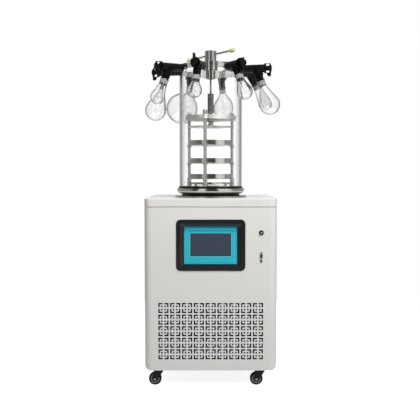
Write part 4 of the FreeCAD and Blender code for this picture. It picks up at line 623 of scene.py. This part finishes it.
def threaded(length):
    """A threaded rod along Z, from 0 to its length in millimetres."""
    rows = int(length / SCREW_LEAD * ROWS_A_TURN)
    rings = []
    for row in range(rows + 1):
        height = length * row / rows
        ring = []
        for step in range(SCREW_STEPS):
            turn = 2 * math.pi * step / SCREW_STEPS
            radius = thread_radius(height / SCREW_LEAD - step / SCREW_STEPS)
            ring.append((radius * math.cos(turn), radius * math.sin(turn), height))
        rings.append(ring)
    return skin(rings, loop=False)


low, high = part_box("lead_screw")
screw_foot = Vector(((low.x + high.x) / 2, (low.y + high.y) / 2, low.z))
screw_length = (high.z - low.z) / MM
add_piece("press_screw_threaded", [(drawn_steel, threaded(screw_length), Matrix.Translation(screw_foot))],
          "handle", replaced="lead_screw")
print("thread turns:", round(screw_length / SCREW_LEAD))

# %% [markdown]
# ## Grips
# The grips on the cross bar are moulded with a rounded end and a groove for the fingers, and they are
# hollow for the bar. A ball would be the quick way, but it lacks the groove, which shows as a dark line.
# Each is turned round its own axis and aimed along the bar, which leans a little and stands at an angle.

# %% Moulded grips
BAR_HALF = 111.5 * MM     # from the middle of the bar to a grip's outer end
BAR_TURN, BAR_LEAN = math.radians(-35.0), math.radians(5.6)
GRIP_STEPS = 40
# Outline as (radius, distance from the outer end), in millimetres.
GRIP = [(0, 0), (5.4, 0), (7.4, 0.8), (8.3, 2.6), (8.5, 5.0), (8.4, 7.0), (7.7, 8.0), (7.7, 9.0), (8.3, 10.0),
        (8.1, 14.0), (7.3, 19.0), (6.4, 21.0), (4.3, 21.0), (4.3, 2.0), (0, 2.0)]
bar_line = Vector((math.cos(BAR_LEAN) * math.cos(BAR_TURN), math.cos(BAR_LEAN) * math.sin(BAR_TURN),
                   math.sin(BAR_LEAN)))
grips = []
for side in (-1, 1):
    bar_end = middle_of("handle_bar") + side * BAR_HALF * bar_line
    grips.append((grip_plastic, turned(GRIP, GRIP_STEPS), aimed(bar_end, -side * bar_line)))
add_piece("moulded_grips", grips, "handle", replaced="handle_tips")

# %% [markdown]
# ## Screen edges
# The film of the touch unit has a pale line round the display's window and a thin bead where its raised
# middle ends. Both are low frames that follow a rounded rectangle. They could be printed by the shader,
# but they stand up from the film in reality, and a real step catches the light from every side. The bead
# also takes the paler film, which is a painted highlight along the step's edge.

# %% Pale window line and bead
# Cross sections as (inset from the rectangle, depth behind the face), both in millimetres.
WINDOW_LINE = [(-2.4, -0.25), (-1.0, -0.25), (-0.7, 0.0), (-0.7, 0.4), (-2.4, 0.4)]
BEAD = [(12.0, 0.6), (12.0, -0.3), (12.5, -0.7), (13.1, -0.7), (13.6, -0.3), (13.6, 0.6)]
WINDOW_CORNER, BEAD_CORNER = 3.0, 14.0
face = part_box("touch_panel")[0].y


def add_face_line(name, around, corner, section):
    """A frame on the face of the touch unit that follows the box of a CAD part."""
    low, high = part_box(around)
    size = (high - low) / MM
    middle = middle_of(around)
    add_piece(name, [(light_film, framed(size.x, size.z, corner, section),
                      Matrix.Translation((middle.x, face, middle.z)))], "cabinet")


add_face_line("display_window_line", "display_glass", WINDOW_CORNER, WINDOW_LINE)
# The bead's paler film is a painted highlight along the edge of the raised middle.
add_face_line("touch_panel_bead", "touch_panel", BEAD_CORNER, BEAD)

# %% [markdown]
# ## Selector mark
# The selector's bar carries a white stroke that shows where it points. It is an engraved groove filled
# with paint, so it stands hardly above the bar. It could be a second finish on the bar's own face, but
# that face has no edges where the stroke ends. So a thin slab with pointed ends shows it, and it rides on
# the selector and turns with it.

# %% White stroke on the selector
STROKE = [(-5.6, -0.7), (5.6, -0.7), (6.2, 0.0), (5.6, 0.7), (-5.6, 0.7), (-6.2, 0.0)]
STROKE_FOOT, STROKE_TOP = -0.1, 0.3     # from the bar's face, in millimetres
STROKE_TURN = Matrix.Rotation(math.radians(45.0), 4, "Z")
knob = middle_of("selector_knob")
knob_face = Vector((knob.x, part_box("selector_knob")[0].y, knob.z))
# Paint in a groove is matt and a little warm beside the black.
white_ink = moulded("paint_white_inlaid", "E8E8E4", "DCDCD8", rough=0.4, grain_mm=1.0, strength=0.05)
add_piece("selector_stroke", [(white_ink, slab(STROKE, STROKE_FOOT, STROKE_TOP),
                               aimed(knob_face, (0, -1, 0)) @ STROKE_TURN)], "selector")

# %% [markdown]
# ## Ground joints of the flasks
# The necks of such flasks are ground so that they seat tightly on their stoppers. The ground band is
# matt and grey, not clear, and sits just below each rim. The glass shader could change its roughness
# there, but the flasks lean in eight directions, so eight thin sleeves on the necks are simpler. Each is
# placed as its flask is: out along its port, then down the lean of its rubber branch.

# %% Matt bands on the flask necks
FIRST_PORT, PORT_STEP = 30.0, 45.0     # degrees round the chamber
BRANCH_OUT, BRANCH_HEIGHT, RIM_DOWN = 181.0 * MM, 1218.0 * MM, 50.0 * MM
BRANCH_LEANS = (34.0, 27.0, 27.0, 17.5, 23.5, 25.0, 32.0, 21.5)     # degrees out of the upright
JOINT_BAND = [(15.02, 4.8), (15.22, 5.1), (15.22, 21.4), (15.02, 21.8)]
# Ground with grit, glass scatters all light at its skin and looks grey over the dark stopper.
ground_glass = moulded("borosilicate_ground_joint", "9C9E9F", "7E8081",
                       rough=0.5, grain_mm=0.8, strength=0.25)
chamber = middle_of("chamber_tube")
bands = []
for port, lean in enumerate(map(math.radians, BRANCH_LEANS)):
    turn = math.radians(FIRST_PORT + port * PORT_STEP)
    out = Vector((math.cos(turn), math.sin(turn), 0))
    down = out * math.sin(lean) - Vector((0, 0, math.cos(lean)))
    root = Vector((chamber.x, chamber.y, BRANCH_HEIGHT)) + out * BRANCH_OUT
    bands.append((ground_glass, turned(JOINT_BAND), aimed(root + down * RIM_DOWN, down)))
add_piece("ground_joint_bands", bands, "cabinet")

# %% [markdown]
# ## Louvre hoods
# The rear slots are pressed louvres. A press tool lances the sheet and pushes a hood out over each slot,
# which sheds water and hides the slot from above. The CAD panel has the slots, so the scene adds the
# hoods. A bent strip alone would do from straight behind, but from the side its open ends would show, so
# a flat cheek closes each end. Strip and cheeks are slabs that run along X.

# %% Hoods over the rear slots
# Outlines as (distance behind the panel, height above the slot's middle), in millimetres.
HOOD = [(0, 7.0), (2.2, 6.4), (4.0, 4.8), (5.0, 2.2), (5.0, -0.6), (4.1, -0.6), (4.1, 2.0), (3.3, 4.1),
        (1.7, 5.5), (0, 6.0)]
CHEEK = [(0, 7.0), (2.2, 6.4), (4.0, 4.8), (5.0, 2.2), (5.0, -0.6), (0, -0.6)]
CHEEK_THICK = 1.0
HOOD_HALF = 57.0     # half the hood's length
LOUVRES, LOUVRE_STEP, LOUVRE_LOW = 12, 16.0 * MM, 230.0 * MM     # in each column
LOUVRE_OUT = 82.5 * MM     # columns from the middle
ALONG_X = Matrix(((0, 0, 1, 0), (1, 0, 0, 0), (0, 1, 0, 0), (0, 0, 0, 1)))     # outline in Y and Z
hoods = []
for side in (-1, 1):
    for row in range(LOUVRES):
        slot = (side * LOUVRE_OUT, cabinet_back, LOUVRE_LOW + row * LOUVRE_STEP)
        place = Matrix.Translation(slot) @ ALONG_X
        hoods.append((cabinet_paint, slab(HOOD, -HOOD_HALF, HOOD_HALF), place))
        for start in (-HOOD_HALF, HOOD_HALF - CHEEK_THICK):
            hoods.append((cabinet_paint, slab(CHEEK, start, start + CHEEK_THICK), place))
add_piece("rear_louvre_hoods", hoods, "cabinet")

# %% [markdown]
# ## Panel screws
# Domed screws hold the side and rear panels to the corner posts, three to an edge. A socket in the middle
# of each head takes the key. It has six sides, which would need a cut into the dome. At this size a round
# one looks the same, so dome and socket are one turned outline, and a loop sets the heads.

# %% Domed screws on the side and rear panels
SCREW_HEAD = [(0, 0), (3.8, 0), (3.6, 0.9), (2.6, 1.7), (1.6, 1.9), (1.2, 0.8), (0, 0.8)]
SCREW_HEIGHTS = (0.10, 0.38, 0.66)
FROM_FRONT, FROM_BACK = 18 * MM, 12 * MM     # screws from the edges of a side panel
REAR_OUT = 238 * MM     # screws of the rear panel from the middle
side_low, side_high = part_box("right_panel")
screws = []
for height in SCREW_HEIGHTS:
    for side in (-1, 1):
        spots = [((side * side_high.x, side_low.y + FROM_FRONT, height), (side, 0, 0)),
                 ((side * side_high.x, side_high.y - FROM_BACK, height), (side, 0, 0)),
                 ((side * REAR_OUT, cabinet_back, height), (0, 1, 0))]
        screws += [(satin_steel, turned(SCREW_HEAD, SMALL_STEPS), aimed(*spot)) for spot in spots]
add_piece("panel_screws", screws, "cabinet")

# %% [markdown]
# ## Condenser fins
# The condenser behind the grille is a pack of thin aluminium sheets on copper pipes, one sheet every few
# millimetres. The CAD part has fewer and thicker ones. A loop adds the fine sheets among them, each a
# slab with clipped corners. A striped texture on a block would be cheaper, but it would shut the gaps.

# %% Fine sheets of the condenser
FIN_STEP, FIN_THICK = 3.0, 0.35
# Outline as (distance from the pack's middle, height above its foot), in millimetres.
FIN = [(-20, 12), (-19, 10), (19, 10), (20, 12), (20, 213), (19, 215), (-19, 215), (-20, 213)]
coil_low, coil_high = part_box("condenser")
coil_middle = middle_of("condenser")
fin_count = int((coil_high.x - coil_low.x) / MM / FIN_STEP)
fins = []
for fin in range(fin_count):
    spot = (coil_low.x + (fin + 0.5) * FIN_STEP * MM, coil_middle.y, coil_low.z)
    fins.append((fins_black_and_shade, slab(FIN, 0.0, FIN_THICK), Matrix.Translation(spot) @ ALONG_X))
# The fine sheets take the same near black, partly painted shade behind the grille.
add_piece("condenser_fin_pack", fins, "cabinet")

# %% [markdown]
# ## Inlet pins
# The mains inlet at the back is a recess with three flat pins, the earth pin a little higher. They are
# stamped from nickel-plated brass and stand back from the recess's mouth, so no finger meets them. Plain
# boxes would do, but a slab takes the broken corners at no cost, and these catch a little light.

# %% Three flat pins in the mains inlet
PIN = [(-2.0, -0.8), (-1.6, -1.1), (1.6, -1.1), (2.0, -0.8), (2.0, 0.8), (1.6, 1.1), (-1.6, 1.1), (-2.0, 0.8)]
PIN_FOOT, PIN_TIP = -12.0, -3.0     # inside the panel's face, in millimetres
INLET_X, INLET_Z = -170 * MM, 130 * MM
PIN_OFFSETS = ((-7, -2), (7, -2), (0, 4))     # from the inlet's middle
pins = []
for across, up in PIN_OFFSETS:
    spot = (INLET_X + across * MM, cabinet_back, INLET_Z + up * MM)
    pins.append((plated_brass, slab(PIN, PIN_FOOT, PIN_TIP), aimed(spot, (0, 1, 0))))
add_piece("inlet_pins", pins, "cabinet")

# %% [markdown]
# ## What each ray meets
# A studio stands the object on a sheet of white paper that curves up behind it, so no horizon shows. Such
# a sheet could be modelled, but it shades off towards the back and needs lamps of its own. Here floor and
# world answer each kind of ray by itself: white to the eye, dimmer as a source of light so that the lower
# parts stay shaded, and upright light and dark bands to mirrors, as if flat reflectors and black cards
# stood round the machine. The bands draw the streaks on polished steel. Real cards would also light the
# cabinet and show through the glass.

# %% What kind of ray is asking
def light_paths(tree):
    """Three switches of 0 or 1: the eye itself, the eye through clear material, and a mirrored ray."""
    path = add_node(tree, "ShaderNodeLightPath")
    mirrored = add_node(tree, "ShaderNodeMath", {0: path.outputs["Glossy Depth"], 1: 0.5},
                        operation="GREATER_THAN").outputs[0]
    plain = add_node(tree, "ShaderNodeMath", {0: 1.0, 1: mirrored}, operation="SUBTRACT").outputs[0]
    through = add_node(tree, "ShaderNodeMath", {0: path.outputs["Is Transmission Ray"], 1: plain},
                       operation="MULTIPLY").outputs[0]
    return path.outputs["Is Camera Ray"], through, mirrored


print("rays told apart: eye, eye through glass, mirrored")

# %% [markdown]
# ## Floor
# The floor is matt white paper. It has to look nearly white and still take a soft shadow, so what the eye
# sees is lifted by a little glow of its own, and what only lights the machine stays grey. It is a disc
# and not a square, so that no corner comes into sight.

# %% Pale paper floor
FLOOR_RADIUS = 1.7
FLOOR_DROP = 0.5 * MM     # below the tyres, so that the two do not flicker
FLOOR_STEPS = 96
PAPER_GLOW = 0.86         # lifts the seen floor towards white


def pale_floor():
    """A disc of paper under the machine."""
    form = bmesh.new()
    bmesh.ops.create_circle(form, cap_ends=True, segments=FLOOR_STEPS, radius=FLOOR_RADIUS)
    mesh = bpy.data.meshes.new("studio_floor")
    form.to_mesh(mesh)
    form.free()
    floor = bpy.data.objects.new("studio_floor", mesh)
    bpy.context.scene.collection.objects.link(floor)
    floor.location.z = -FLOOR_DROP
    # Uncoated paper: no gloss at all, and a grey that only bounced light meets.
    material, tree, _ = start_material("paper_backdrop_white")
    eye, through, mirrored = light_paths(tree)
    direct = add_node(tree, "ShaderNodeMath", {0: eye, 1: through}, operation="MAXIMUM")
    seen = add_node(tree, "ShaderNodeMath", {0: direct.outputs[0], 1: mirrored}, operation="MAXIMUM")
    tone = add_node(tree, "ShaderNodeMix", {0: seen.outputs[0], 6: linear("5C5C5C"),
                                            7: linear("F4F4F3")}, data_type="RGBA")
    paper = add_node(tree, "ShaderNodeBsdfDiffuse", {"Color": tone.outputs[2]})
    lift = add_node(tree, "ShaderNodeMath", {0: seen.outputs[0], 1: PAPER_GLOW}, operation="MULTIPLY")
    glow = add_node(tree, "ShaderNodeEmission", {"Color": (1, 1, 1, 1), "Strength": lift.outputs[0]})
    shader = add_node(tree, "ShaderNodeAddShader", {0: paper.outputs[0], 1: glow.outputs[0]})
    mesh.materials.append(finish_material(material, tree, shader))


pale_floor()
print("floor radius:", FLOOR_RADIUS, "m")

# %% [markdown]
# ## Surroundings
# The world gives each kind of ray its own answer: plain white to the eye, a slightly brighter white
# through glass, bands of light and dark to mirrors, and an even half-bright room to everything else. The
# bands are a ramp over the angle round the machine, with soft steps where a card ends. An image of a real
# studio could do this, but the ramp says in degrees where each card stands.

# %% White world with bands for the mirrors
BACKDROP = 1.2        # as seen through clear material
ROOM = 0.50
WHITE = 1.0
# Degrees round the machine, 0 in front and positive to the right, and how bright it is there.
BANDS = [(-180, 0.7), (-150, 0.35), (-72, 0.3), (-64, 0.05), (-47, 0.05), (-41, 1.0), (-21, 1.0),
         (-15, 0.05), (24, 0.05), (30, 1.0), (72, 1.0), (80, 0.3), (150, 0.35), (180, 0.7)]


def grey(value):
    return (value, value, value, 1.0)


def studio_world():
    """White backdrop for the eye, an even glow as light, and upright light and dark bands in mirrors."""
    world = bpy.data.worlds.new("studio_world")
    bpy.context.scene.world = world
    world.use_nodes = True
    tree = world.node_tree
    tree.nodes.clear()
    eye, through, mirrored = light_paths(tree)
    sight = add_node(tree, "ShaderNodeTexCoord").outputs["Generated"]
    right, back, _ = add_node(tree, "ShaderNodeSeparateXYZ", {0: sight}).outputs
    front = add_node(tree, "ShaderNodeMath", {0: back, 1: -1.0}, operation="MULTIPLY")
    turn = add_node(tree, "ShaderNodeMath", {0: right, 1: front.outputs[0]}, operation="ARCTAN2")
    share = add_node(tree, "ShaderNodeMapRange", {"Value": turn.outputs[0], "From Min": -math.pi,
                                                  "From Max": math.pi})
    ramp = add_node(tree, "ShaderNodeValToRGB", {0: share.outputs[0]})
    stops = ramp.color_ramp.elements
    for index, (degrees, value) in enumerate(BANDS):
        spot = (degrees + 180.0) / 360.0
        stop = stops[index] if index < 2 else stops.new(spot)     # a new ramp has two stops already
        stop.position = spot
        stop.color = grey(value)
    glow = add_node(tree, "ShaderNodeMix", {0: mirrored, 6: grey(ROOM), 7: ramp.outputs[0]},
                    data_type="RGBA")
    behind = add_node(tree, "ShaderNodeMix", {0: through, 6: glow.outputs[2], 7: grey(BACKDROP)},
                      data_type="RGBA")
    colour = add_node(tree, "ShaderNodeMix", {0: eye, 6: behind.outputs[2], 7: grey(WHITE)},
                      data_type="RGBA")
    sky = add_node(tree, "ShaderNodeBackground", {"Color": colour.outputs[2]})
    add_node(tree, "ShaderNodeOutputWorld", {"Surface": sky.outputs[0]})


studio_world()
print("bands for mirrors:", len(BANDS), "stops; room as a lamp:", ROOM)

# %% [markdown]
# ## Soft lamps
# Two large soft boxes light the machine: a key from the upper right and in front, and a weaker one
# straight above that brightens the cover and the shelves. Small lamps would do as well, but they throw
# hard shadows of the valves on the chamber. The even room is the only fill. Both boxes are hidden from
# mirrored rays, as the bands of the world already stand for what steel and enamel reflect.

# %% Two soft boxes
LIT_SPOT = Vector((0, 0, 0.9))     # both boxes aim into the lower half of the chamber


def soft_box(name, at, size, watts):
    """A rectangular lamp at a place in metres, turned to the machine."""
    lamp = bpy.data.lights.new(name, "AREA")
    lamp.shape = "RECTANGLE"
    lamp.size, lamp.size_y = size
    lamp.energy = watts
    holder = bpy.data.objects.new(name, lamp)
    bpy.context.scene.collection.objects.link(holder)
    holder.location = at
    holder.rotation_euler = (LIT_SPOT - Vector(at)).to_track_quat("-Z", "Y").to_euler()
    holder.visible_glossy = False


soft_box("key_soft_box", at=(1.0, -2.4, 2.5), size=(1.1, 1.1), watts=80.0)
soft_box("top_soft_box", at=(0.1, -0.5, 2.9), size=(1.6, 1.2), watts=18.0)

# %% [markdown]
# ## Camera
# The machine is seen from straight in front, from a little above its middle and tilted slightly down.
# The camera stands well back with a longer lens than usual, which keeps upright edges almost parallel. A
# short lens from nearby would make them run together. Its place is given from the cabinet's front face.
# Colours go out by the plain standard transform, which keeps white paper white.

# %% Camera in front of the cabinet
CAMERA_DISTANCE = 2.7       # metres in front of the cabinet's face
CAMERA_HEIGHT = 0.813
CAMERA_SIDE = -0.0026       # a little left of the middle
CAMERA_TILT = 2.875         # degrees down
LENS_MM, SENSOR_MM = 62.0, 36.0
camera_data = bpy.data.cameras.new("front_camera")
camera_data.lens = LENS_MM
camera_data.sensor_width = SENSOR_MM
camera = bpy.data.objects.new("front_camera", camera_data)
bpy.context.scene.collection.objects.link(camera)
camera.location = (CAMERA_SIDE, cabinet_front - CAMERA_DISTANCE, CAMERA_HEIGHT)
camera.rotation_euler = (math.radians(90.0 - CAMERA_TILT), 0.0, 0.0)
bpy.context.scene.camera = camera
bpy.context.scene.view_settings.view_transform = "Standard"
print("camera stands", CAMERA_DISTANCE, "m in front of the cabinet")
